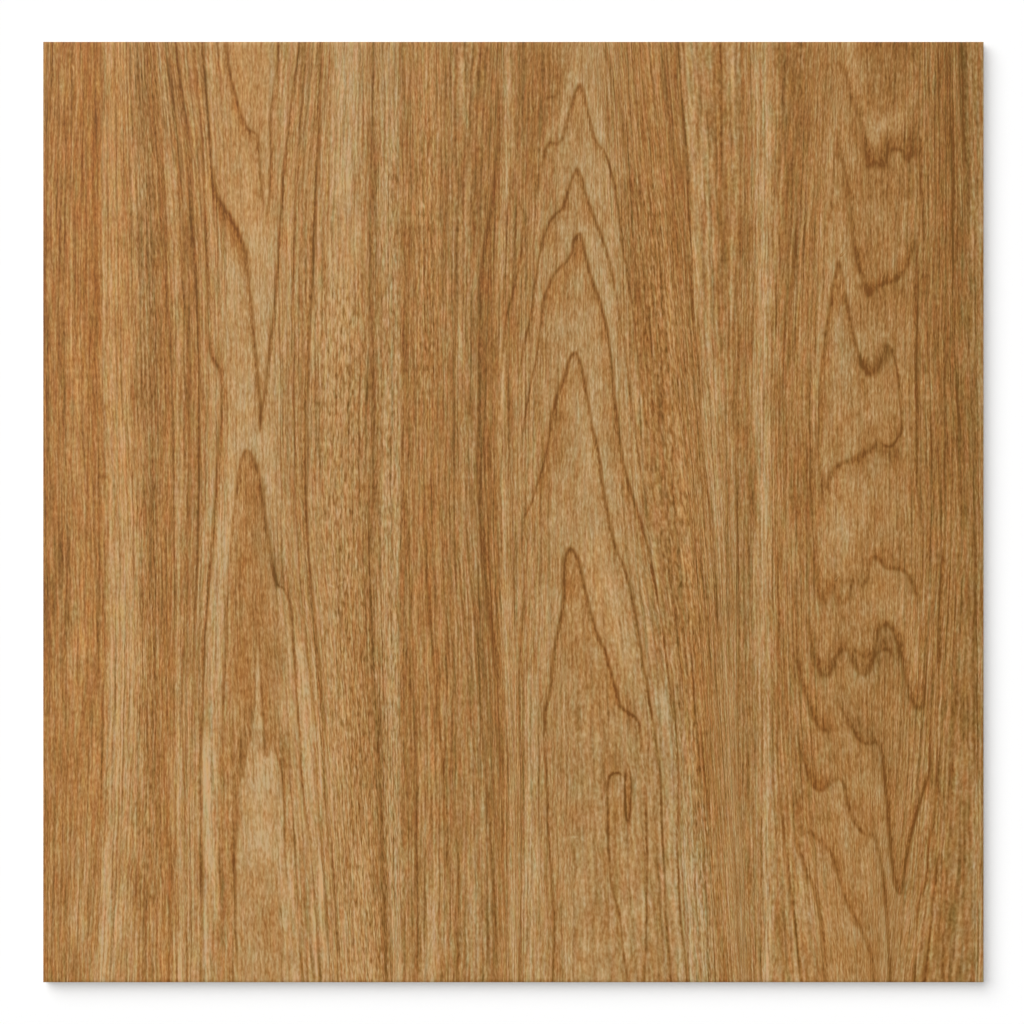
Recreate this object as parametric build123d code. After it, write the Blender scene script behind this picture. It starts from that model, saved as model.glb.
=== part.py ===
"""Square wood-look porcelain floor tile.

The tile is one piece: clay powder pressed in a die, glazed and printed on its face, fired, and then
ground square on its four edges.  It lies face up on its back ribs, the printed grain along Y, with the
origin at the middle of the back.  Lengths are in millimetres and angles in degrees.
"""

import os

from build123d import *

# The slab, over its ground edges and from the back ribs to the glazed face.
TILE_WIDTH = 600.0
TILE_LENGTH = 600.0
TILE_THICKNESS = 9.5

# The 45 degree bevels that the grinding wheels leave round the face and round the back.
FACE_ARRIS = 0.3
BACK_ARRIS = 0.4

# The keying relief on the back: a grid of ribs, pressed by the lower punch, round shallow square cells
# with cut corners that the adhesive fills.  A plain rim, at least this wide, is left along the edges.
RIB_HEIGHT = 0.8
RIB_WIDTH = 6.0
RIB_DRAFT = 40.0
CELL_PITCH = 40.0
CELL_CORNER_CUT = 3.0
RIM_WIDTH = 20.0


def ground_slab():
    """The pressed slab with its edges ground square and both arrises taken off."""
    slab = Box(
        TILE_WIDTH,
        TILE_LENGTH,
        TILE_THICKNESS,
        align=(Align.CENTER, Align.CENTER, Align.MIN),
    )
    flat_sides = slab.faces().sort_by(Axis.Z)
    slab = chamfer(flat_sides[-1].edges(), FACE_ARRIS)
    back = slab.faces().sort_by(Axis.Z)[0]
    return chamfer(back.edges(), BACK_ARRIS)


def cells_across(side):
    """How many cells fit between the rims, an even number so that two ribs cross at the origin."""
    ribbed_span = side - 2 * RIM_WIDTH + RIB_WIDTH
    return 2 * int(ribbed_span / (2 * CELL_PITCH))


def back_cells():
    """The shallow cells between the ribs, narrowing upwards by the punch's draft."""
    cell_side = CELL_PITCH - RIB_WIDTH
    grid = GridLocations(
        CELL_PITCH,
        CELL_PITCH,
        cells_across(TILE_WIDTH),
        cells_across(TILE_LENGTH),
    )
    square = Rectangle(cell_side, cell_side)
    mouth = chamfer(square.vertices(), CELL_CORNER_CUT)
    cell = extrude(mouth, RIB_HEIGHT, taper=RIB_DRAFT)
    return [place * cell for place in grid]


tile = ground_slab() - back_cells()

os.makedirs("parts", exist_ok=True)
export_step(tile, "parts/tile.step")
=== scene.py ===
import math

import bpy
import numpy as np
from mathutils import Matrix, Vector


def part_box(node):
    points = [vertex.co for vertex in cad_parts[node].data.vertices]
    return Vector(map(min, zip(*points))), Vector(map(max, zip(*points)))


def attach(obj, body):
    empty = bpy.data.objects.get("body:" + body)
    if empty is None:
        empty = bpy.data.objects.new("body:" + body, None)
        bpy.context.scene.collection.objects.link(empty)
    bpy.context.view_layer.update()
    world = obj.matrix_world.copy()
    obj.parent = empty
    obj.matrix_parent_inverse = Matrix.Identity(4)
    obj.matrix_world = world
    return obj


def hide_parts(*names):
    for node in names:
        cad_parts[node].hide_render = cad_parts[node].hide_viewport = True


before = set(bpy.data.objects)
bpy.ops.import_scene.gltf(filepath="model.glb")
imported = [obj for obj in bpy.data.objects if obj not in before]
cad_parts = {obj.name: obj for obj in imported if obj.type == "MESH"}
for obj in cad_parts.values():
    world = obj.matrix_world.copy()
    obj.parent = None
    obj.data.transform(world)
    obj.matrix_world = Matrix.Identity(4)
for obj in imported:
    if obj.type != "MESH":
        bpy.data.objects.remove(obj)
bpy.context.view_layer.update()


# The slab.  One plate of porcelain, pressed from clay powder, fired, and ground square on its four edges,
# which leaves a small bevel round the face and round the back.  The press also moulds a grid of shallow
# cells into the back, and the ribs between them key the adhesive.  Lengths are in metres.
corner_low, corner_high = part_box("tile")
HALF_SIDE = corner_high.x
THICKNESS = corner_high.z
FACE_ARRIS = 0.0003
BACK_ARRIS = 0.0004
RIB_HEIGHT = 0.0008
RIB_WIDTH = 0.006
RIB_DRAFT = math.radians(40)
CELL_PITCH = 0.040
CELL_CORNER_CUT = 0.003
CELLS_ACROSS = 14
FACE_COLUMNS = 300
FACE_ROWS = 275
WELD_DIGITS = 7


def square_loop(columns, rows, half, height):
    """Points round a square, anticlockwise from its near left corner: the shares of each side, from -1 to 1,
    times half the side, all at one height."""
    wide = np.ones(len(columns) - 1)
    tall = np.ones(len(rows) - 1)
    x = np.concatenate([columns[:-1], tall, columns[:0:-1], -tall])
    y = np.concatenate([-wide, rows[:-1], wide, rows[:0:-1]])
    return np.column_stack([x * half, y * half, np.full(x.size, height)])


def strip(inner, outer):
    """The band of quads between two loops of as many points; several loops may be given, one a row."""
    count = inner.shape[-2]
    here = np.arange(count)
    after = np.roll(here, -1)
    quads = np.column_stack([here, after, after + count, here + count])
    points = np.concatenate([inner, outer], axis=-2).reshape(-1, 3)
    starts = np.arange(0, len(points), 2 * count)
    return points, (quads[None] + starts[:, None, None]).reshape(-1, 4)


def stitched_wall(low_shares, high_shares, low, high):
    """Triangles between two loops of different counts: the edges of both are taken in order of their
    middles, and each gets as its tip the point that the other loop has then come to."""
    low_middles = (low_shares[1:] + low_shares[:-1]) / 2
    high_middles = (high_shares[1:] + high_shares[:-1]) / 2
    low_edges = np.arange(len(low_middles))
    high_edges = np.arange(len(high_middles))
    low_tips = np.searchsorted(high_middles, low_middles) % len(high)
    high_tips = np.searchsorted(low_middles, high_middles) % len(low)
    low_next = (low_edges + 1) % len(low)
    high_next = (high_edges + 1) % len(high)
    from_low = np.column_stack([low_edges, low_next, low_tips + len(low)])
    from_high = np.column_stack([high_next + len(low), high_edges + len(low), high_tips])
    return np.vstack([low, high]), np.vstack([from_low, from_high])


def loop_shares(columns, rows):
    """How far round a square loop each point is, four sides to the round, with the start repeated."""
    sides = [columns, rows, columns, rows]
    starts = [(side[:-1] + 1) / 2 + turn for turn, side in enumerate(sides)]
    return np.append(np.concatenate(starts), len(sides))


def cut_square(half, straight, corner):
    """Twelve points round a square with cut corners, as complex numbers: a side's two ends and the middle of
    the next corner's cut, turned to the four sides."""
    side = np.array([half - 1j * straight, half + 1j * straight, corner + 1j * corner])
    return np.concatenate([side, side * 1j, -side, side * -1j])


def at_cells(outline, height):
    """One loop for each back cell: the outline moved to the cell's middle, at the given height."""
    middles = (np.arange(CELLS_ACROSS) - (CELLS_ACROSS - 1) / 2) * CELL_PITCH
    centres = (middles[:, None] + 1j * middles[None, :]).ravel()
    plan = centres[:, None] + outline[None, :]
    return np.stack([plan.real, plan.imag, np.full(plan.shape, height)], axis=-1)


face_columns = np.linspace(-1, 1, FACE_COLUMNS + 1)
face_rows = np.linspace(-1, 1, FACE_ROWS + 1)
face_half = HALF_SIDE - FACE_ARRIS
face_x, face_y = np.meshgrid(face_columns * face_half, face_rows * face_half)
face_points = np.column_stack([face_x.ravel(), face_y.ravel(), np.full(face_x.size, THICKNESS)])
near_left = np.arange(face_x.size).reshape(face_x.shape)
face_quads = np.column_stack([
    near_left[:-1, :-1].ravel(),
    near_left[:-1, 1:].ravel(),
    near_left[1:, 1:].ravel(),
    near_left[1:, :-1].ravel(),
])

mouth_half = (CELL_PITCH - RIB_WIDTH) / 2
wall_run = RIB_HEIGHT * math.tan(RIB_DRAFT)
floor_half = mouth_half - wall_run
mouth_straight = mouth_half - CELL_CORNER_CUT
floor_straight = mouth_straight - wall_run * (math.sqrt(2) - 1)
rib_square = at_cells(cut_square(CELL_PITCH / 2, mouth_straight, CELL_PITCH / 2), 0)
mouth = at_cells(cut_square(mouth_half, mouth_straight, (mouth_half + mouth_straight) / 2), 0)
cell_floor = at_cells(cut_square(floor_half, floor_straight, (floor_half + floor_straight) / 2), RIB_HEIGHT)
floor_points = cell_floor.reshape(-1, 3)
floor_faces = np.arange(len(floor_points)).reshape(cell_floor.shape[:2])[:, ::-1]

ribbed_half = CELLS_ACROSS * CELL_PITCH / 2
cell_edges = (np.arange(CELLS_ACROSS + 1) - CELLS_ACROSS / 2) * CELL_PITCH
cell_straights = (cell_edges[:-1, None] + CELL_PITCH / 2 + np.array([-1, 1]) * mouth_straight).ravel()
back_shares = np.sort(np.concatenate([cell_edges, cell_straights])) / ribbed_half
ribbed_outline = square_loop(back_shares, back_shares, ribbed_half, 0)
back_outline = square_loop(back_shares, back_shares, HALF_SIDE - BACK_ARRIS, 0)
wall_foot = square_loop(back_shares, back_shares, HALF_SIDE, BACK_ARRIS)
wall_head = square_loop(face_columns, face_rows, HALF_SIDE, THICKNESS - FACE_ARRIS)
face_outline = square_loop(face_columns, face_rows, face_half, THICKNESS)

glazed_patches = [
    (face_points, face_quads),
    strip(wall_head, face_outline),
]
bare_patches = [
    stitched_wall(
        loop_shares(back_shares, back_shares), loop_shares(face_columns, face_rows), wall_foot, wall_head
    ),
    strip(back_outline, wall_foot),
    strip(ribbed_outline, back_outline),
    strip(mouth, rib_square),
    strip(cell_floor, mouth),
    (floor_points, floor_faces),
]

loose_points = []
skin_faces = []
points_before = 0
for patch_points, patch_faces in glazed_patches + bare_patches:
    loose_points.append(patch_points)
    skin_faces.extend((patch_faces + points_before).tolist())
    points_before += len(patch_points)
loose_points = np.vstack(loose_points)
first_of_each, welded = np.unique(
    np.round(loose_points, WELD_DIGITS), axis=0, return_index=True, return_inverse=True
)[1:]
skin_points = loose_points[first_of_each]
welded = welded.ravel()
skin_faces = [welded[face].tolist() for face in skin_faces]
smooth_count = len(face_quads)
glazed_count = sum(len(patch_faces) for patch_points, patch_faces in glazed_patches)


# The printed grain.  A photograph-like picture of sawn timber, jetted in ceramic inks on the raw glaze and
# fired into it.  It is laid out here in pixels of the photograph, right and down: the growth lines, the
# lean of the fibres, the tone of each stripe and the local patches, all given one by one.
PRINT_CENTRE = np.array([513.4, 512.05])
PRINT_SIDE = 940.5
PRINT_PITCH = 2 * HALF_SIDE / PRINT_SIDE
LINE_PIECES = 4
LINE_REACH = 12.0
LINE_TAPER = 14.0
BROWN_TAPER = 110.0
TAPER_SHARE = 0.3
BROWN_TAPER_SHARE = 0.4
SOFT_REACH = 2.5
PORES_EVERYWHERE = 0.25


def smooth_line(points):
    """A smooth line through the points: cubic pieces, each point's slope the mean of the two chords that
    meet there, weighted to the shorter one."""
    points = np.array(points, float)
    chords = np.diff(points, axis=0)
    lengths = np.linalg.norm(chords, axis=1, keepdims=True)
    slopes = chords / lengths
    between = (slopes[:-1] * lengths[1:] + slopes[1:] * lengths[:-1]) / (lengths[:-1] + lengths[1:])
    tangents = np.vstack([slopes[:1], between, slopes[-1:]])
    t = np.linspace(0, 1, LINE_PIECES, endpoint=False)[None, :, None]
    start, end = points[:-1, None], points[1:, None]
    leave, arrive = (tangents[:-1] * lengths)[:, None], (tangents[1:] * lengths)[:, None]
    pieces = (
        start * (2 * t ** 3 - 3 * t ** 2 + 1)
        + leave * (t ** 3 - 2 * t ** 2 + t)
        + end * (3 * t ** 2 - 2 * t ** 3)
        + arrive * (t ** 3 - t ** 2)
    )
    return np.vstack([pieces.reshape(-1, 2), points[-1:]])


def beside_line(places, points, reach):
    """The places within reach of a smooth line, their distance from it, positive on the left hand of someone
    who walks along it, how far they are from the line's nearer end, and the line's length."""
    line = smooth_line(points)
    steps = np.diff(line, axis=0)
    lengths = np.linalg.norm(steps, axis=1)
    walked = np.concatenate([[0], np.cumsum(lengths)])
    in_box = (places > line.min(0) - reach) & (places < line.max(0) + reach)
    near = np.flatnonzero(in_box.all(1))
    offsets = places[near, None, :] - line[None, :-1, :]
    share = np.clip((offsets * steps).sum(2) / lengths ** 2, 0, 1)
    gaps = offsets - share[..., None] * steps
    squares = (gaps ** 2).sum(2)
    rows = np.arange(len(near))
    nearest = squares.argmin(1)
    step = steps[nearest]
    offset = offsets[rows, nearest]
    side = np.where(offset[:, 0] * step[:, 1] - offset[:, 1] * step[:, 0] >= 0, 1, -1)
    distance = np.sqrt(squares[rows, nearest])
    along = walked[nearest] + share[rows, nearest] * lengths[nearest]
    from_end = np.minimum(along, walked[-1] - along)
    close = distance < reach
    return near[close], (distance * side)[close], from_end[close], walked[-1]


print_places = PRINT_CENTRE + skin_points[:, :2] / PRINT_PITCH * np.array([1, -1])

# Growth lines: softness, darkness, brown shading and the points.  The brown lies on the left hand of
# someone who walks along the points, or on the right hand where it is negative.  Arches run from the right
# foot over the tip to the left foot, so that their left hand is the inside.
LEFT_LINES = [
    (1.2, 0.5, 0, [(52, 25), (51, 80), (49, 130), (46, 230), (43, 300)]),
    (0.8, 0.35, 0, [(73, 80), (75, 140), (74, 200)]),
    (0.8, 0.35, 0, [(81, 100), (82, 160), (81, 225)]),
    (1.0, 0.25, -0.5, [(101, 25), (100, 150), (101, 300), (100, 420)]),
    (0.7, 0.35, 0, [(114, 25), (115, 100), (116, 190)]),
    (0.8, 0.35, 0, [(153, 230), (156, 270), (157, 310)]),
    (0.7, 0.5, 0, [(173, 330), (174, 400), (174, 520), (175, 600), (173, 720), (175, 790), (176, 860)]),
    (0.8, 0.5, -0.2, [(152, 585), (154, 620), (155, 645), (153, 690)]),
    (0.8, 0.3, 0, [(63, 300), (62, 380), (64, 470)]),
    (0.6, 0.35, 0, [(114, 640), (115, 690), (116, 730)]),
    (0.7, 0.35, 0, [(113, 840), (112, 900), (109, 1000)]),
    (0.9, 0.5, 0, [(184, 770), (185, 860), (186, 930), (187, 1000)]),
    (0.9, 0.55, -0.2, [(174, 25), (180, 80), (184, 108), (190, 142), (192, 190), (194, 240), (198, 310),
        (199, 400), (198, 540), (195, 610), (192, 700), (192, 750)]),
    (1.3, 0.45, -0.25, [(163, 45), (173, 100), (178, 140), (180, 190), (182, 240), (185, 280),
        (188, 330), (189, 400), (188, 540), (187, 600), (184, 650), (182, 700), (184, 780)]),
    (1.0, 0.7, 0, [(190, 25), (195, 65), (198, 90), (203, 150), (204, 185), (207, 260), (209, 335)]),
    (1.2, 0.9, 0.7, [(209, 325), (210, 347), (212, 357), (216, 364), (220, 371), (221, 382), (221, 410),
        (219, 445), (217, 480), (215, 510), (213, 545)]),
    (1.1, 0.75, -0.2, [(214, 525), (210, 575), (207, 610), (204, 640), (203, 680), (201, 740),
        (199, 770), (201, 800), (202, 860), (202, 1000)]),
    (0.9, 0.6, -0.2, [(201, 25), (204, 70), (207, 100), (210, 130), (212, 174)]),
    (1.6, 0.75, -0.7, [(212, 163), (214, 185), (218, 198), (224, 207), (231, 218), (237, 230),
        (243, 245), (247, 262), (249, 285)]),
    (1.1, 0.85, -0.3, [(247, 270), (249, 285), (253, 330), (257, 370), (260, 410), (260, 434)]),
    (1.1, 0.85, 0.4, [(302, 25), (297, 65), (293, 90), (287, 140), (282, 190), (280, 222), (278, 255),
        (276, 290), (270, 345), (264, 400), (261, 415), (260, 434)]),
    (1.1, 0.8, -0.5, [(225, 25), (230, 75), (234, 88), (238, 105), (243, 120), (249, 130), (256, 134),
        (258, 142), (260, 170), (263, 210)]),
    (1.0, 0.75, 0.5, [(279, 25), (277, 62), (274, 90), (270, 120), (271, 160), (269, 200), (266, 222)]),
    (1.3, 0.7, 0.6, [(279, 590), (276, 581), (274, 568), (270, 549), (266, 526), (263, 502), (260, 480),
        (255, 462), (252, 455), (247, 450), (242, 457), (240, 467), (238, 485), (235, 503)]),
    (0.9, 0.6, 0.2, [(237, 489), (235, 503), (232, 535), (229, 575), (227, 612), (226, 650),
        (223, 710)]),
    (0.9, 0.7, 0, [(272, 560), (275, 577), (279, 586), (283, 588), (288, 597), (291, 612), (293, 650),
        (297, 710), (300, 740), (301, 758)]),
    (1.0, 1.1, 0, [(300, 745), (302, 782), (305, 807), (309, 832), (311, 850)]),
    (0.9, 0.65, 0, [(309, 836), (312, 857), (314, 890), (317, 925), (321, 1000)]),
    (0.8, 0.5, 0, [(306, 30), (303, 92), (300, 150), (297, 190), (295, 215), (294, 345), (295, 440),
        (298, 540), (304, 620), (310, 675), (313, 700), (317, 750), (317, 787), (321, 835), (324, 880),
        (327, 917), (329, 940), (330, 990)]),
    (1.3, 0.9, -0.3, [(321, 25), (318, 150), (314, 235), (310, 310), (306, 400), (305, 440), (308, 545),
        (313, 602), (318, 655), (323, 715), (325, 770), (326, 812)]),
    (0.8, 0.5, 0, [(326, 799), (329, 838), (331, 857), (333, 880), (335, 905), (336, 925), (337, 955),
        (339, 1000)]),
    (0.8, 0.45, -0.3, [(331, 40), (330, 110), (327, 230), (323, 345)]),
    (1.0, 0.55, 0.5, [(258, 630), (260, 665), (262, 695), (264, 725), (266, 760)]),
    (0.8, 0.4, -0.6, [(273, 732), (270, 745), (266, 760)]),
    (0.9, 0.4, -0.5, [(258, 630), (255, 670), (253, 701), (250, 738), (244, 765), (240, 785)]),
    (1.7, 0.5, -0.4, [(242, 730), (240, 760), (237, 790), (236, 830), (234, 870), (236, 930),
        (231, 1000)]),
    (0.8, 0.45, 0.6, [(271, 735), (275, 750), (280, 764), (283, 787), (284, 820), (284, 846), (286, 868),
        (289, 886)]),
    (0.8, 0.8, 0, [(299, 895), (301, 920), (302, 955), (304, 990)]),
]
MIDDLE_LINES = [
    (1.8, 0.4, 0, [(371, 25), (372, 120), (371, 200), (373, 380), (374, 440), (373, 510)]),
    (1.0, 0.6, 0, [(369, 490), (369, 560), (372, 640), (376, 720), (379, 770), (383, 880), (387, 1000)]),
    (0.8, 0.1, 0.4, [(399, 25), (400, 200), (401, 400), (400, 560), (400, 700), (401, 800), (400, 900)]),
    (0.9, 0.45, 0, [(416, 690), (417, 800), (417, 880), (416, 1000)]),
    (1.0, 0.3, 0, [(447, 60), (446, 110), (446, 180), (444, 240), (443, 310)]),
    (0.9, 0.35, 0, [(457, 25), (455, 130), (457, 250), (454, 380), (455, 450), (454, 520)]),
    (0.8, 0.55, 0, [(456, 530), (460, 570), (466, 650), (470, 700), (472, 740)]),
    (0.8, 0.4, 0, [(466, 110), (464, 170), (463, 220)]),
    (1.3, 0.6, 0.15, [(498, 75), (498, 140), (495, 180), (490, 215), (484, 250), (480, 300), (479, 360),
        (480, 520), (483, 560), (491, 620), (498, 700), (501, 760), (502, 850)]),
    (1.0, 0.5, 0, [(477, 125), (476, 180), (475, 240)]),
    (0.8, 0.1, -0.3, [(499, 290), (500, 400), (500, 520), (501, 610)]),
    (0.7, 0.5, 0, [(442, 530), (444, 590), (447, 620), (450, 670)]),
    (0.8, 0.55, 0, [(466, 515), (469, 560), (473, 600), (477, 640), (480, 700), (482, 740)]),
    (1.1, 0.7, 0, [(442, 755), (445, 805), (447, 870)]),
    (0.9, 0.45, 0, [(457, 820), (458, 880), (459, 940), (457, 1000)]),
    (1.1, 0.45, 0, [(488, 780), (491, 850), (494, 890), (496, 940), (496, 1000)]),
    (0.8, 0.4, 0, [(519, 25), (518, 80), (517, 150)]),
    (0.8, 0.65, 0, [(522, 226), (521, 257), (516, 279), (511, 300), (506, 318), (504, 334), (502, 370)]),
    (0.7, 0.45, 0, [(510, 185), (507, 225), (505, 275), (502, 330)]),
    (0.7, 0.45, 0, [(523, 195), (521, 206), (525, 214), (523, 232)]),
    (0.9, 0.5, 0, [(426, 560), (430, 620), (436, 690), (441, 740), (445, 780)]),
]
CENTRE_LINES = [
    (0.8, 0.7, -0.2, [(648, 440), (641, 380), (637, 345), (633, 310), (627, 275), (622, 245), (619, 215),
        (615, 190), (611, 172), (607, 158), (603, 149)]),
    (1.1, 0.75, 0.6, [(614, 185), (611, 172), (607, 158), (603, 149), (598, 145), (595, 139), (591, 124),
        (587, 108), (583, 91), (580, 84), (577, 89), (571, 106), (566, 125), (562, 139), (556, 144),
        (549, 142), (546, 150), (543, 165)]),
    (1.2, 0.45, -0.3, [(549, 142), (546, 150), (543, 165), (539, 180), (533, 205)]),
    (0.8, 0.55, 0, [(643, 485), (636, 440), (631, 400), (626, 360), (621, 325), (617, 300), (611, 272)]),
    (1.1, 0.75, 0.7, [(615, 288), (612, 275), (607, 252), (602, 237), (596, 222), (590, 206), (585, 190),
        (580, 173), (577, 168), (574, 173), (569, 188), (565, 200), (561, 210), (555, 214), (549, 224),
        (543, 239), (539, 257)]),
    (0.8, 0.8, 0.2, [(543, 242), (539, 257), (537, 271), (534, 289), (530, 318), (525, 340),
        (518, 382)]),
    (0.8, 0.85, 0, [(688, 1000), (684, 945), (680, 905), (678, 860), (677, 745), (673, 705), (668, 670),
        (664, 640), (659, 610), (655, 584), (650, 558)]),
    (1.1, 0.85, 0.7, [(659, 610), (655, 584), (650, 558), (644, 533), (637, 510), (630, 488), (624, 465),
        (619, 435), (615, 400), (611, 358), (607, 330), (602, 308), (597, 292), (591, 276), (586, 256),
        (583, 243), (579, 233), (575, 238), (572, 250), (569, 258), (563, 265), (557, 270), (552, 278),
        (548, 288), (543, 302), (541, 320)]),
    (0.7, 0.8, 0.1, [(543, 306), (541, 320), (539, 340), (536, 360), (531, 382), (526, 410),
        (521, 450)]),
    (0.9, 0.75, 0, [(672, 1000), (669, 950), (666, 905), (663, 853), (661, 800), (658, 755), (653, 722),
        (647, 688)]),
    (1.0, 0.85, 0.2, [(653, 722), (647, 688), (641, 650), (636, 616), (630, 590), (624, 566), (617, 553),
        (612, 535)]),
    (1.1, 0.9, 0.55, [(617, 550), (612, 535), (607, 510), (602, 480), (598, 450), (593, 430), (589, 408),
        (585, 385), (580, 362), (575, 352), (570, 357), (566, 372), (561, 386), (556, 398), (552, 415),
        (549, 440)]),
    (0.8, 0.65, 0.2, [(551, 425), (549, 440), (544, 462), (538, 482), (532, 502), (522, 520)]),
    (0.9, 0.55, 0, [(526, 505), (523, 520), (524, 570), (524, 610), (521, 640), (519, 690), (522, 790),
        (519, 1000)]),
    (0.8, 0.8, 0, [(644, 1000), (646, 930), (647, 870), (646, 810), (644, 764), (641, 730)]),
    (0.8, 0.9, 0, [(545, 719), (544, 735), (546, 770), (549, 840), (552, 880), (554, 950), (552, 1000)]),
    (1.1, 0.9, 0.55, [(642, 744), (641, 735), (636, 718), (630, 714), (623, 709), (616, 690), (610, 668),
        (605, 650), (598, 636), (592, 617), (587, 596), (581, 573), (575, 553), (570, 548), (566, 555),
        (564, 575), (564, 595), (561, 615), (557, 635), (553, 660), (550, 692), (545, 712), (544, 735)]),
    (1.5, 0.25, 0, [(602, 620), (608, 640), (616, 665), (624, 700)]),
    (0.9, 1.0, -0.5, [(627, 779), (623, 776), (618, 773), (614, 773), (610, 776), (608, 784),
        (608, 804)]),
    (0.8, 0.7, 0, [(608, 790), (608, 805), (609, 850), (611, 880), (614, 897), (619, 912), (622, 940),
        (630, 1000)]),
    (0.8, 1.2, 0.6, [(629, 762), (626, 772), (625, 785), (625, 805), (626, 817), (629, 831)]),
    (0.8, 1.0, 0.6, [(627, 831), (630, 815), (631, 793), (631, 778), (627, 761)]),
    (1.0, 0.4, 0, [(540, 100), (545, 99), (550, 97), (556, 96), (558, 90), (560, 75)]),
    (1.6, 0.35, 0, [(604, 40), (609, 65), (613, 80), (617, 100), (622, 122), (625, 140), (628, 165),
        (632, 200)]),
    (1.4, 0.3, 0, [(602, 65), (607, 100), (611, 130)]),
    (0.7, 0.6, 0, [(702, 135), (704, 180), (706, 220)]),
    (1.1, 0.7, 0, [(676, 25), (683, 110), (687, 180), (689, 250), (693, 325)]),
    (1.0, 0.5, -0.3, [(692, 300), (696, 345), (699, 375), (701, 430), (704, 462), (712, 530),
        (718, 630)]),
    (0.8, 0.45, 0, [(699, 550), (703, 585), (707, 620), (711, 670)]),
    (0.8, 0.35, 0, [(700, 720), (704, 770), (707, 795), (712, 835)]),
    (1.0, 0.55, 0, [(726, 775), (730, 815), (733, 845), (736, 880), (738, 925), (741, 1000)]),
    (1.0, 0.5, -0.3, [(720, 25), (722, 80), (721, 200), (723, 275)]),
    (0.8, 0.45, 0, [(741, 40), (743, 90), (741, 160), (740, 260), (742, 320)]),
    (0.9, 0.4, 0, [(736, 280), (738, 340), (737, 500), (739, 620), (738, 700), (739, 780), (742, 840)]),
    (0.6, 0.4, 0, [(761, 25), (761, 100), (760, 190)]),
    (0.8, 0.45, 0, [(762, 630), (762, 760), (761, 880), (760, 1000)]),
    (0.9, 0.45, 0, [(778, 545), (778, 640), (779, 735)]),
    (1.4, 0.35, 0, [(796, 60), (799, 120), (798, 170), (797, 215), (793, 300)]),
    (0.8, 0.4, 0, [(770, 785), (771, 880), (772, 970)]),
    (0.9, 0.5, 0, [(780, 785), (785, 850), (790, 890), (795, 930), (800, 980)]),
]
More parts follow.
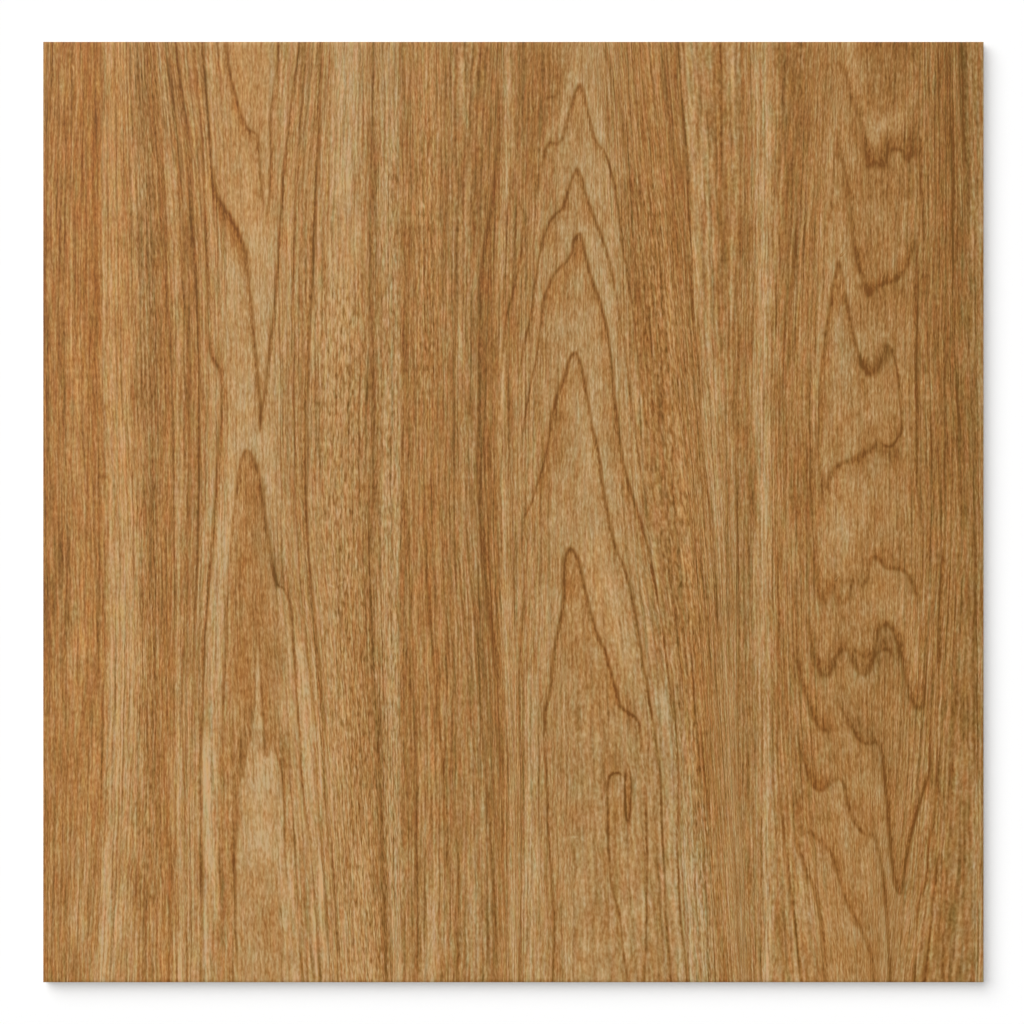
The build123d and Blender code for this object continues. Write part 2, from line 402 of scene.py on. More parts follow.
RIGHT_LINES = [
    (1.6, 0.4, 0.2, [(826, 68), (832, 64), (838, 64), (844, 70), (848, 82), (853, 100), (859, 115),
        (863, 132), (867, 150), (870, 164)]),
    (1.8, 0.5, 0.4, [(862, 135), (866, 152), (869, 167), (873, 165), (877, 163), (882, 167), (886, 160),
        (888, 145), (891, 128)]),
    (1.5, 0.45, 0.4, [(884, 155), (890, 151), (897, 149), (902, 151), (905, 158), (908, 162), (911, 156),
        (916, 149), (921, 158)]),
    (0.9, 0.5, 0, [(919, 115), (920, 150), (921, 190), (923, 215), (925, 250)]),
    (1.4, 0.5, 0, [(838, 125), (838, 165)]),
    (1.1, 0.4, 0, [(837, 140), (833, 175), (829, 225)]),
    (1.3, 0.5, 0.1, [(839, 145), (846, 178), (850, 200), (853, 232), (857, 260), (863, 280)]),
    (1.6, 0.48, 0.7, [(853, 232), (857, 260), (863, 280), (869, 296), (877, 287), (887, 283), (898, 279),
        (906, 267), (911, 252), (915, 235)]),
    (1.2, 0.6, -0.7, [(824, 505), (819, 460), (820, 400), (821, 370), (824, 345), (828, 317), (832, 293),
        (836, 270), (838, 261), (842, 272), (846, 295), (850, 318), (855, 342), (861, 360), (870, 380)]),
    (2.0, 0.45, 0.7, [(856, 350), (862, 365), (869, 374), (876, 372), (882, 362), (888, 345)]),
    (1.0, 0.75, 0.2, [(884, 350), (888, 345), (892, 352), (896, 365), (899, 384), (900, 401), (902, 419),
        (901, 432), (896, 441), (890, 447), (884, 445), (877, 437)]),
    (2.0, 0.6, 0.7, [(884, 436), (879, 441), (872, 449), (861, 454), (850, 460), (838, 465), (830, 474),
        (824, 492)]),
    (1.8, 0.4, 0.7, [(813, 545), (816, 580), (819, 597), (824, 604), (829, 592), (831, 586), (835, 597),
        (841, 605), (846, 602), (850, 591), (853, 582), (858, 580), (862, 587)]),
    (1.4, 0.55, 0.7, [(857, 580), (862, 587), (866, 582), (869, 569), (872, 560), (875, 557), (881, 563),
        (888, 569), (898, 569), (906, 573), (912, 584), (916, 594), (921, 604)]),
    (1.7, 0.5, 0.7, [(805, 612), (810, 630), (813, 650), (817, 664), (820, 673), (826, 676), (831, 671),
        (835, 660), (839, 653), (844, 649), (849, 653), (854, 664), (859, 672), (866, 675), (871, 669),
        (874, 655), (877, 638), (879, 630), (884, 625), (890, 628), (896, 638), (900, 652), (904, 667),
        (907, 685), (912, 701), (918, 709), (923, 706), (925, 690), (925, 655), (927, 622), (930, 600)]),
    (1.2, 0.4, 0.3, [(870, 672), (875, 656), (882, 650), (888, 650), (894, 656), (899, 668)]),
    (1.2, 0.35, 0.3, [(850, 645), (858, 653), (864, 657), (869, 655), (874, 646)]),
    (1.6, 0.45, 0.6, [(797, 655), (803, 688), (809, 705), (815, 721), (822, 729), (828, 731),
        (834, 720)]),
    (1.3, 0.55, 0.6, [(834, 692), (841, 708), (848, 720), (855, 733), (862, 742), (869, 744), (876, 742),
        (881, 752), (884, 772), (887, 800), (889, 835), (892, 868), (895, 886), (900, 894), (904, 876),
        (907, 858), (911, 835), (917, 812), (923, 792), (928, 772)]),
    (1.0, 0.55, 0, [(904, 870), (907, 858), (911, 835), (917, 812), (923, 792), (928, 772)]),
    (0.8, 0.5, 0, [(924, 789), (929, 774), (930, 747), (931, 710), (934, 660)]),
    (1.4, 0.45, 0.6, [(798, 738), (807, 770), (814, 787), (820, 791), (829, 785), (838, 779), (844, 783),
        (848, 800)]),
    (1.3, 0.65, 0.3, [(842, 779), (847, 798), (852, 817), (858, 828), (865, 834), (875, 837)]),
    (1.1, 0.35, 0, [(881, 750), (886, 796), (890, 836), (893, 868), (898, 890)]),
    (1.2, 0.75, 0.3, [(868, 834), (873, 835), (878, 850), (882, 870), (886, 909), (891, 1000)]),
    (1.4, 0.5, 0.5, [(796, 824), (810, 833), (819, 841), (829, 850), (836, 866), (841, 887), (849, 906),
        (858, 924), (866, 941), (877, 1000)]),
    (1.4, 0.5, 0.2, [(794, 824), (801, 855), (807, 873), (814, 889), (819, 908), (823, 935),
        (825, 1000)]),
    (0.9, 0.5, 0, [(782, 810), (788, 861), (792, 891), (795, 920), (803, 1000)]),
    (1.2, 0.6, -0.2, [(916, 235), (917, 320), (917, 380), (918, 420), (917, 470), (919, 530)]),
    (0.9, 0.7, 0, [(938, 740), (937, 770), (936, 799), (933, 828), (929, 842), (927, 870), (923, 891),
        (919, 903), (917, 935), (914, 1000)]),
    (0.9, 0.75, 0, [(940, 846), (936, 876), (933, 900), (931, 924), (927, 960), (922, 1000)]),
    (0.9, 0.5, 0, [(953, 745), (951, 790), (950, 835), (946, 857)]),
    (0.8, 0.5, 0, [(946, 862), (947, 890), (945, 918), (943, 947), (940, 990)]),
    (0.8, 0.4, 0, [(965, 812), (964, 872)]),
    (1.3, 0.35, 0, [(966, 165), (967, 220), (967, 300), (972, 350)]),
    (0.9, 0.35, 0, [(922, 155), (923, 230), (925, 300)]),
    (0.7, 0.3, 0, [(928, 40), (929, 120), (928, 220)]),
    (1.3, 0.5, 0, [(960, 25), (962, 80), (964, 130), (966, 175)]),
    (1.0, 0.5, 0, [(953, 95), (953, 150), (954, 290)]),
    (0.9, 0.6, 0, [(943, 545), (941, 590), (939, 640), (937, 672)]),
    (0.9, 0.6, 0, [(951, 565), (949, 611), (946, 665)]),
    (0.8, 0.4, 0, [(957, 645), (956, 690), (955, 716)]),
    (1.4, 0.4, 0, [(976, 275), (976, 340), (975, 520), (976, 640), (975, 770)]),
    (0.9, 0.45, 0, [(771, 640), (773, 720), (774, 800)]),
    (0.9, 0.4, 0, [(810, 345), (810, 430), (811, 525)]),
    (0.9, 0.4, 0, [(801, 175), (797, 240), (792, 290), (788, 375)]),
]

# Small pale marks: lines of the same kind, whose darkness is negative.
PALE_MARKS = [
    (0.7, -0.9, 0, [(72, 63), (74, 72)]),
    (0.7, -0.6, 0, [(96, 81), (98, 86)]),
    (0.7, -0.7, 0, [(422, 202), (424, 208)]),
    (0.7, -0.7, 0, [(328, 584), (335, 588)]),
    (0.7, -0.7, 0, [(337, 585), (345, 581)]),
    (0.7, -0.6, 0, [(569, 837), (578, 837)]),
]

# Lines that come close to each other are kept on separate layers, so that each layer needs only one distance
# at a place.  A layer holds that distance over the line's softness, the darkness and the brown shading.
# The last two are full up to half the reach and fall to nothing at its end.
grain_layers = []
layer_taken = []
grain_lines = LEFT_LINES + MIDDLE_LINES + CENTRE_LINES + RIGHT_LINES + PALE_MARKS
for softness, darkness, brown, points in grain_lines:
    reach = LINE_REACH * softness
    near, distance, from_end, length = beside_line(print_places, points, reach)
    free = [index for index, taken in enumerate(layer_taken) if not taken[near].any()]
    if not free:
        grain_layers.append(np.zeros((len(print_places), 3)))
        layer_taken.append(np.zeros(len(print_places), bool))
        free = [len(grain_layers) - 1]
    fall = np.clip(2 - 2 * np.abs(distance) / reach, 0, 1)
    line_taper = np.clip(from_end / min(LINE_TAPER, TAPER_SHARE * length), 0, 1)
    brown_taper = np.clip(from_end / min(BROWN_TAPER, BROWN_TAPER_SHARE * length), 0, 1)
    toward_brown = -1 if brown < 0 else 1
    layer = grain_layers[free[0]]
    layer[near, 0] = distance * toward_brown / softness
    layer[near, 1] = darkness * fall * line_taper
    layer[near, 2] = abs(brown) * fall * brown_taper
    layer_taken[free[0]][near] = True

# The lean of the fibres: where seven heights of the print cut each guide line, and the guide's own place
# across the stripes.
GUIDE_HEIGHTS = [42, 200, 360, 520, 680, 840, 982]
FIBRE_GUIDES = {
    20: [28, 23, 20, 20, 20, 20, 20],
    52: [52, 47, 46, 48, 50, 50, 50],
    110: [109, 109, 110, 116, 117, 112, 105],
    174: [156, 168, 174, 174, 174, 176, 178],
    196: [176, 193, 198, 198, 193, 194, 194],
    300: [308, 296, 295, 297, 309, 320, 329],
    371: [371, 371, 371, 369, 374, 381, 387],
    400: [399, 400, 401, 400, 400, 401, 401],
    455: [452, 453, 454, 456, 462, 464, 464],
    479: [490, 484, 479, 480, 488, 493, 497],
    504: [506, 505, 504, 504, 508, 512, 515],
    525: [530, 527, 524, 523, 522, 523, 522],
    575: [581, 578, 575, 572, 572, 573, 574],
    640: [620, 630, 636, 645, 667, 677, 686],
    670: [643, 658, 672, 688, 700, 708, 715],
    705: [680, 690, 700, 712, 721, 731, 741],
    740: [741, 741, 739, 738, 739, 742, 747],
    765: [765, 765, 764, 764, 766, 768, 769],
    795: [806, 800, 793, 792, 796, 806, 820],
    860: [860, 860, 862, 862, 864, 868, 872],
    920: [922, 921, 918, 920, 917, 905, 893],
    945: [943, 943, 942, 945, 937, 929, 914],
    960: [952, 955, 956, 960, 953, 948, 942],
    974: [961, 967, 971, 974, 975, 975, 972],
    1005: [1005, 1005, 1005, 1005, 1005, 1005, 1005],
}


def across_fibres(places):
    """Each place's position across the stripes: the guides are cut at the place's height, on smooth lines
    through their given points, and the position is shared out evenly between the two guides beside it."""
    labels = np.array(list(FIBRE_GUIDES), float)
    guides = [smooth_line(list(zip(GUIDE_HEIGHTS, cuts))) for cuts in FIBRE_GUIDES.values()]
    cuts = np.array([np.interp(places[:, 1], guide[:, 0], guide[:, 1]) for guide in guides])
    upper = np.clip((cuts < places[:, 0]).sum(0), 1, len(labels) - 1)
    rows = np.arange(len(places))
    low, high = cuts[upper - 1, rows], cuts[upper, rows]
    share = (places[:, 0] - low) / (high - low)
    return labels[upper - 1] + share * (labels[upper] - labels[upper - 1])


across = across_fibres(print_places)

# The stripes, from left to right: the place across, the tone from 0, darkest, to 1, palest, and the warmth
# from -1, olive, to 1, orange.
STRIPES = [
    (43, 0.44, 0.6), (50, 0.50, 0.6), (56, 0.52, 0.6), (60, 0.50, 0.7), (66, 0.47, 0.6), (73, 0.56, 0.7),
    (80, 0.53, 0.8), (90, 0.48, 0.9), (99, 0.46, 0.9), (102, 0.70, 0.35), (108, 0.72, 0.3),
    (118, 0.70, 0.3), (124, 0.66, 0.35), (132, 0.64, 0.25), (140, 0.57, 0.1), (147, 0.50, -0.1),
    (156, 0.50, 0.0), (161, 0.48, 0.6), (168, 0.46, 0.8), (172, 0.52, 0.5), (176, 0.74, 0.2),
    (180, 0.66, 0.1), (184, 0.54, 0.2), (197, 0.52, 0.1), (203, 0.60, 0.1), (222, 0.68, 0.1),
    (235, 0.66, 0.2), (250, 0.66, 0.1), (275, 0.70, 0.0), (300, 0.62, 0.1), (312, 0.66, 0.2),
    (330, 0.72, 0.25), (345, 0.72, 0.3), (358, 0.64, 0.3), (366, 0.55, 0.2), (374, 0.47, -0.1),
    (380, 0.58, 0.0), (385, 0.72, 0.0), (394, 0.70, -0.1), (400, 0.66, 0.0), (403, 0.47, 0.2),
    (412, 0.46, 0.3), (420, 0.54, 0.35), (430, 0.56, 0.5), (438, 0.57, 0.4), (444, 0.48, 0.2),
    (455, 0.50, 0.0), (462, 0.66, 0.0), (466, 0.60, -0.1), (472, 0.50, -0.3), (479, 0.45, -0.2),
    (484, 0.42, 0.2), (494, 0.42, 0.3), (499, 0.50, 0.1), (502, 0.72, 0.0), (505, 0.70, 0.0),
    (508, 0.54, 0.05), (514, 0.50, 0.05), (525, 0.53, 0.1), (540, 0.57, 0.0), (560, 0.66, -0.15),
    (580, 0.68, -0.2), (600, 0.68, -0.2), (620, 0.64, -0.1), (640, 0.56, 0.1), (655, 0.50, 0.4),
    (670, 0.47, 0.6), (682, 0.50, 0.4), (692, 0.56, 0.1), (704, 0.70, 0.0), (716, 0.66, -0.1),
    (721, 0.52, 0.0), (728, 0.62, 0.0), (738, 0.58, 0.0), (744, 0.49, 0.15), (754, 0.54, 0.0),
    (758, 0.64, 0.0), (765, 0.74, -0.1), (772, 0.64, 0.0), (780, 0.50, 0.2), (790, 0.46, 0.1),
    (800, 0.48, 0.2), (812, 0.52, 0.2), (830, 0.60, 0.05), (860, 0.56, 0.05), (890, 0.55, 0.05),
    (910, 0.52, 0.0), (920, 0.46, 0.0), (930, 0.50, -0.1), (942, 0.44, 0.1), (955, 0.42, 0.0),
    (966, 0.45, -0.3), (974, 0.42, -0.6), (979, 0.54, -0.6), (984, 0.57, -0.4), (991, 0.58, -0.1),
]
stripe_places, stripe_tones, stripe_warmths = np.array(STRIPES).T
tone = np.interp(across, stripe_places, stripe_tones)
warmth = np.interp(across, stripe_places, stripe_warmths)

# Patches that belong to no stripe: tone, warmth and half-width of a soft band, and the line that it follows.
PATCHES = [
    (0.20, -0.1, 8, [(221, 525), (218, 620), (213, 700), (209, 760), (208, 880), (207, 1000)]),
    (0.22, 0.0, 15, [(258, 765), (260, 800), (261, 850)]),
    (0.20, 0.0, 4, [(258, 648), (258, 690), (260, 725)]),
    (-0.12, 0.3, 9, [(227, 730), (223, 800), (222, 900), (221, 1000)]),
    (-0.14, 0.5, 13, [(247, 470), (246, 520), (244, 580), (243, 640), (240, 700)]),
    (-0.20, -0.9, 5, [(272, 556), (276, 584)]),
    (-0.18, 0.4, 7, [(208, 170), (214, 192), (226, 214), (238, 236), (244, 255)]),
    (0.14, -0.1, 14, [(243, 170), (256, 250), (262, 330), (263, 400)]),
    (0.12, 0.0, 12, [(266, 440), (277, 490), (286, 550)]),
    (0.18, 0.0, 10, [(306, 690), (312, 780), (316, 860), (324, 1000)]),
    (-0.10, 0.5, 8, [(572, 375), (560, 410), (553, 450), (543, 490)]),
    (-0.10, 0.5, 8, [(578, 245), (576, 265), (560, 282), (552, 305)]),
    (-0.10, 0.4, 12, [(570, 560), (572, 600), (580, 640), (590, 680), (600, 720)]),
    (0.10, -0.1, 7, [(594, 245), (608, 290), (620, 340), (628, 420)]),
    (-0.14, 0.2, 8, [(863, 362), (871, 370), (878, 362)]),
    (-0.14, 0.1, 8, [(820, 664), (828, 670), (832, 662)]),
    (-0.14, 0.1, 8, [(860, 662), (868, 668), (874, 658)]),
    (-0.14, 0.2, 8, [(816, 716), (824, 726)]),
    (-0.14, 0.2, 9, [(856, 724), (868, 736)]),
    (-0.14, 0.2, 8, [(812, 775), (822, 786)]),
    (-0.14, 0.1, 9, [(870, 158), (880, 165), (889, 150)]),
    (-0.12, 0.1, 9, [(904, 140), (914, 150)]),
    (0.12, 0.0, 10, [(872, 112), (880, 122), (898, 125)]),
    (-0.09, 0.0, 22, [(880, 40), (882, 190)]),
    (-0.20, 0.0, 7, [(884, 450), (895, 458)]),
    (0.10, 0.0, 9, [(838, 320), (838, 360)]),
    (0.08, 0.0, 20, [(80, 790), (80, 1000)]),
    (0.06, 0.0, 10, [(128, 490), (128, 740)]),
    (0.18, 0.0, 11, [(187, 620), (186, 720), (188, 860), (190, 1000)]),
    (0.10, 0.0, 6, [(155, 860), (155, 1000)]),
    (0.10, 0.0, 7, [(209, 740), (208, 860)]),
    (0.13, -0.1, 9, [(230, 260), (236, 350), (236, 460), (230, 540)]),
    (0.08, 0.2, 8, [(236, 25), (240, 110)]),
    (0.08, 0.2, 7, [(292, 100), (288, 260)]),
    (0.08, 0.0, 9, [(288, 800), (292, 900), (298, 1000)]),
    (0.06, 0.0, 18, [(350, 25), (348, 330)]),
    (0.06, 0.0, 16, [(418, 25), (418, 260)]),
    (0.12, -0.2, 5, [(431, 890), (431, 1000)]),
    (0.15, -0.2, 8, [(523, 300), (521, 380), (522, 600)]),
    (0.18, -0.3, 10, [(530, 680), (531, 800), (531, 1000)]),
    (0.10, -0.2, 5, [(513, 880), (514, 1000)]),
    (0.14, -0.2, 18, [(610, 585), (625, 640), (638, 700)]),
    (0.22, -0.5, 15, [(668, 700), (680, 800), (689, 900), (693, 1000)]),
    (0.10, 0.0, 3, [(707, 130), (708, 200)]),
    (0.08, 0.0, 5, [(760, 25), (760, 200)]),
    (0.08, 0.0, 6, [(805, 600), (805, 720)]),
    (0.16, 0.0, 14, [(795, 820), (800, 900), (806, 1000)]),
    (0.08, 0.0, 15, [(838, 470), (842, 550)]),
    (0.08, 0.0, 7, [(828, 140), (826, 320)]),
    (0.10, 0.0, 5, [(910, 600), (911, 690)]),
    (-0.12, 0.3, 9, [(262, 570), (266, 640), (270, 700), (274, 745)]),
    (-0.10, 0.0, 5, [(245, 715), (243, 755)]),
    (-0.10, 0.2, 7, [(352, 600), (354, 760)]),
    (-0.10, 0.1, 18, [(538, 25), (540, 190)]),
    (-0.16, 0.3, 9, [(674, 25), (677, 280)]),
    (-0.08, 0.0, 5, [(720, 60), (720, 280)]),
    (-0.10, 0.0, 5, [(718, 580), (720, 760)]),
    (-0.10, 0.1, 6, [(630, 712), (640, 724)]),
    (-0.08, 0.0, 5, [(780, 25), (780, 100)]),
    (-0.10, 0.0, 20, [(945, 25), (948, 500)]),
    (-0.16, 0.1, 8, [(886, 625), (890, 680)]),
    (-0.12, 0.1, 6, [(835, 695), (835, 760)]),
    (-0.10, 0.2, 7, [(256, 330), (260, 410)]),
    (0.10, 0.0, 8, [(52, 25), (52, 90)]),
    (0.14, 0.0, 4, [(175, 170), (177, 230), (177, 290)]),
    (0.10, 0.0, 8, [(246, 350), (250, 430)]),
    (0.08, 0.0, 10, [(228, 440), (224, 560)]),
    (0.12, 0.0, 4, [(512, 25), (512, 170)]),
    (0.10, 0.0, 6, [(505, 890), (506, 1000)]),
    (0.08, 0.0, 7, [(606, 160), (616, 220), (626, 290)]),
    (0.14, 0.0, 5, [(660, 170), (668, 280), (675, 390), (684, 510), (694, 620)]),
    (0.14, 0.0, 5, [(642, 400), (644, 480)]),
    (0.08, 0.0, 10, [(638, 540), (652, 660)]),
    (0.12, 0.0, 8, [(700, 900), (710, 1000)]),
    (-0.14, 0.2, 5, [(43, 270), (44, 420), (45, 560), (46, 700)]),
    (-0.14, 0.2, 6, [(428, 490), (428, 620)]),
    (-0.10, 0.0, 4, [(480, 590), (485, 690)]),
    (-0.08, 0.2, 16, [(548, 30), (552, 100)]),
    (-0.12, 0.2, 8, [(606, 680), (632, 708)]),
    (-0.12, 0.3, 8, [(612, 745), (614, 800), (616, 870)]),
    (-0.06, 0.0, 20, [(575, 760), (585, 920)]),
    (-0.10, 0.2, 6, [(640, 290), (650, 420)]),
    (-0.10, 0.0, 7, [(792, 70), (788, 160)]),
    (-0.10, 0.1, 12, [(838, 615), (840, 680)]),
    (0.0, 0.5, 30, [(250, 25), (250, 230)]),
    (0.12, 0.3, 9, [(84, 550), (84, 650)]),
    (0.14, 0.0, 6, [(107, 850), (105, 1000)]),
    (0.06, 0.0, 22, [(125, 560), (125, 780)]),
    (0.05, 0.0, 80, [(150, 960), (180, 990)]),
    (0.10, 0.0, 9, [(368, 25), (368, 115)]),
    (0.06, 0.0, 10, [(340, 130), (340, 190)]),
    (0.10, 0.0, 8, [(291, 600), (298, 680), (303, 800)]),
    (0.10, 0.0, 8, [(304, 560), (312, 690), (324, 790)]),
    (0.10, 0.0, 5, [(541, 145), (538, 200)]),
    (0.12, 0.0, 5, [(543, 255), (540, 335)]),
    (0.14, 0.0, 4, [(715, 360), (716, 415)]),
    (0.10, 0.0, 5, [(636, 440), (640, 495)]),
    (0.10, 0.0, 6, [(512, 600), (514, 790)]),
    (0.08, 0.0, 6, [(540, 590), (539, 665)]),
    (0.08, -0.3, 7, [(472, 890), (472, 970)]),
    (0.06, -0.2, 25, [(420, 860), (420, 1000)]),
    (0.10, 0.0, 6, [(765, 790), (766, 1000)]),
    (0.10, 0.0, 6, [(795, 910), (797, 1000)]),
    (0.10, 0.0, 5, [(799, 180), (795, 290)]),
    (0.12, 0.0, 8, [(928, 890), (926, 1000)]),
    (0.08, 0.0, 10, [(948, 500), (950, 630)]),
    (-0.12, 0.0, 4, [(476, 150), (475, 245)]),
    (-0.12, 0.0, 4, [(725, 150), (723, 345)]),
    (-0.10, 0.0, 5, [(735, 370), (735, 430)]),
    (-0.10, 0.2, 16, [(868, 285), (900, 285)]),
    (-0.12, 0.0, 6, [(811, 450), (812, 555)]),
    (-0.08, 0.2, 5, [(508, 280), (506, 440)]),
    (-0.08, 0.0, 8, [(283, 480), (284, 545)]),
    (-0.10, 0.0, 4, [(277, 735), (281, 765)]),
    (-0.05, 0.0, 12, [(345, 600), (352, 860)]),
    (-0.06, 0.0, 8, [(567, 780), (568, 880)]),
    (-0.08, 0.0, 9, [(848, 700), (856, 765)]),
    (-0.10, 0.0, 5, [(798, 795), (800, 845)]),
    (0.0, 0.3, 40, [(80, 40), (85, 380)]),
    (0.0, 0.4, 22, [(120, 60), (125, 500)]),
    (0.0, 0.4, 20, [(190, 30), (200, 450)]),
    (0.0, 0.5, 12, [(150, 520), (152, 1000)]),
    (0.0, -0.5, 25, [(85, 850), (80, 1000)]),
    (0.0, 0.6, 7, [(480, 25), (480, 150)]),
    (0.0, 0.4, 7, [(516, 280), (514, 370)]),
    (0.0, 0.7, 12, [(594, 550), (606, 620), (620, 695)]),
    (0.0, 0.3, 8, [(690, 190), (696, 350)]),
    (0.0, 0.3, 9, [(725, 25), (725, 240)]),
    (0.0, -0.5, 14, [(350, 25), (350, 210)]),
    (0.0, -0.8, 10, [(700, 810), (706, 900), (712, 1000)]),
    (0.0, -0.35, 18, [(742, 480), (748, 980)]),
    (0.0, -0.4, 9, [(841, 310), (845, 400)]),
    (0.0, -0.4, 14, [(855, 635), (875, 640)]),
    (0.0, -0.35, 12, [(890, 840), (890, 1000)]),
    (0.0, -0.3, 25, [(440, 800), (440, 1000)]),
    (0.0, -0.25, 30, [(660, 520), (680, 980)]),
    (0.0, 0.3, 8, [(480, 25), (478, 280)]),
    (0.14, 0.0, 5, [(849, 42), (856, 80), (866, 112), (876, 142)]),
    (0.12, 0.0, 6, [(876, 140), (886, 122), (903, 112), (916, 96)]),
    (0.12, 0.0, 3, [(923, 128), (924, 168)]),
    (0.10, 0.0, 4, [(830, 168), (834, 135), (840, 118), (846, 140), (853, 168)]),
    (-0.16, 0.0, 8, [(910, 128), (912, 190)]),
    (-0.16, 0.0, 9, [(900, 42), (903, 72)]),
    (-0.10, 0.1, 14, [(872, 42), (900, 42)]),
    (-0.06, 0.0, 40, [(845, 100), (850, 300)]),
    (-0.14, -0.4, 6, [(864, 362), (872, 368), (882, 357), (888, 350)]),
    (0.0, -0.5, 9, [(814, 655), (824, 676), (837, 655), (850, 655), (863, 675), (876, 660), (884, 630),
        (900, 660)]),
    (0.0, -0.6, 10, [(845, 700), (858, 725), (872, 738), (884, 760)]),
    (0.0, -0.4, 14, [(840, 340), (865, 350), (890, 340)]),
    (0.0, -0.4, 12, [(860, 470), (885, 460)]),
    (0.10, 0.0, 4, [(577, 50), (571, 82), (564, 112), (556, 130)]),
    (0.10, 0.0, 4, [(592, 85), (598, 112), (604, 138)]),
    (-0.10, 0.2, 6, [(533, 60), (532, 180)]),
    (0.10, 0.5, 6, [(427, 180), (428, 290)]),
    (0.10, 0.0, 4, [(139, 150), (139, 316)]),
    (0.08, 0.0, 3, [(401, 50), (401, 130)]),
    (0.08, 0.0, 4, [(344, 60), (344, 116)]),
    (0.14, 0.0, 4, [(310, 560), (314, 630), (318, 690), (322, 750), (326, 810)]),
    (0.12, 0.0, 5, [(76, 340), (80, 400), (78, 460), (84, 520)]),
    (0.14, 0.0, 3, [(647, 42), (650, 90), (654, 123)]),
    (0.10, 0.0, 5, [(546, 130), (545, 160), (550, 185)]),
    (0.10, 0.0, 4, [(543, 195), (541, 225), (536, 300)]),
    (0.14, 0.0, 3, [(711, 240), (714, 300), (716, 345)]),
    (0.14, 0.0, 4, [(840, 215), (843, 250), (847, 290)]),
    (0.06, 0.0, 10, [(830, 360), (838, 420)]),
    (0.12, 0.0, 4, [(72, 570), (70, 640), (67, 713)]),
    (0.12, 0.0, 6, [(206, 520), (203, 600), (209, 650), (204, 710)]),
    (0.12, 0.0, 3, [(116, 720), (113, 803)]),
    (0.16, 0.0, 5, [(94, 880), (90, 977)]),
    (0.12, 0.0, 4, [(673, 595), (670, 660)]),
    (0.16, 0.0, 4, [(785, 840), (789, 890), (797, 983)]),
    (0.12, 0.0, 8, [(808, 890), (815, 930), (826, 980)]),
    (-0.10, 0.0, 4, [(164, 42), (172, 75), (180, 107), (190, 150)]),
    (-0.14, 0.0, 3, [(268, 350), (262, 400)]),
    (-0.10, -0.5, 4, [(262, 480), (268, 515), (272, 545)]),
    (-0.12, 0.0, 7, [(570, 42), (560, 100)]),
    (-0.12, 0.0, 4, [(610, 60), (616, 100), (620, 140)]),
    (-0.16, 0.0, 5, [(630, 185), (636, 230), (640, 280)]),
    (-0.12, 0.0, 4, [(690, 320), (696, 370), (702, 400)]),
    (-0.14, 0.0, 4, [(726, 220), (729, 270), (724, 310)]),
    (-0.10, 0.0, 4, [(188, 610), (184, 700)]),
    (-0.12, 0.0, 3, [(307, 650), (313, 723)]),
    (-0.12, 0.0, 5, [(284, 760), (289, 800), (293, 843)]),
    (-0.06, 0.0, 18, [(338, 510), (345, 620)]),
    (-0.10, 0.0, 9, [(620, 670), (640, 705)]),
    (-0.14, 0.0, 3, [(671, 680), (674, 740), (677, 823)]),
    (-0.14, 0.0, 6, [(884, 640), (876, 680)]),
    (-0.14, 0.0, 4, [(899, 650), (905, 705)]),
    (-0.10, 0.0, 12, [(872, 700), (885, 780)]),
    (0.14, 0.0, 5, [(975, 785), (973, 1000)]),
    (0.22, 0.0, 6, [(945, 720), (943, 770), (942, 850)]),
    (0.10, 0.0, 11, [(912, 800), (908, 990)]),
    (0.12, 0.0, 4, [(223, 45), (227, 85), (233, 120)]),
    (0.14, 0.0, 4, [(309, 80), (304, 145)]),
    (0.16, 0.0, 5, [(124, 362), (127, 400), (130, 442)]),
    (0.16, 0.0, 6, [(584, 390), (588, 430), (592, 475)]),
    (0.12, 0.0, 4, [(648, 545), (655, 580), (661, 615)]),
    (0.12, 0.0, 4, [(284, 590), (290, 650), (293, 685)]),
    (0.14, 0.0, 3, [(301, 645), (306, 690)]),
    (0.12, 0.0, 3, [(285, 846), (287, 869), (292, 892), (295, 910), (298, 927), (299, 950)]),
    (-0.14, 0.2, 5, [(291, 835), (296, 870), (301, 905)]),
    (0.14, 0.0, 4, [(235, 910), (231, 990)]),
    (0.14, 0.0, 4, [(802, 870), (808, 920)]),
    (0.12, 0.0, 4, [(822, 870), (833, 975)]),
    (0.12, 0.0, 3, [(680, 420), (686, 490)]),
    (-0.14, 0.0, 6, [(280, 450), (288, 490), (294, 522)]),
    (-0.14, 0.0, 4, [(272, 530), (280, 560), (287, 588)]),
    (-0.16, 0.0, 4, [(605, 100), (613, 155)]),
    (-0.14, 0.0, 4, [(622, 180), (628, 240), (636, 300)]),
    (-0.12, 0.0, 4, [(699, 320), (703, 390)]),
    (-0.16, 0.0, 3, [(361, 640), (364, 700), (367, 785)]),
    (-0.10, 0.0, 12, [(878, 72), (902, 95)]),
]
for patch_tone, patch_warmth, half_width, points in PATCHES:
    near, distance = beside_line(print_places, points, SOFT_REACH * half_width)[:2]
    share = np.exp(-(distance / half_width) ** 2)
    tone[near] += patch_tone * share
    warmth[near] += patch_warmth * share

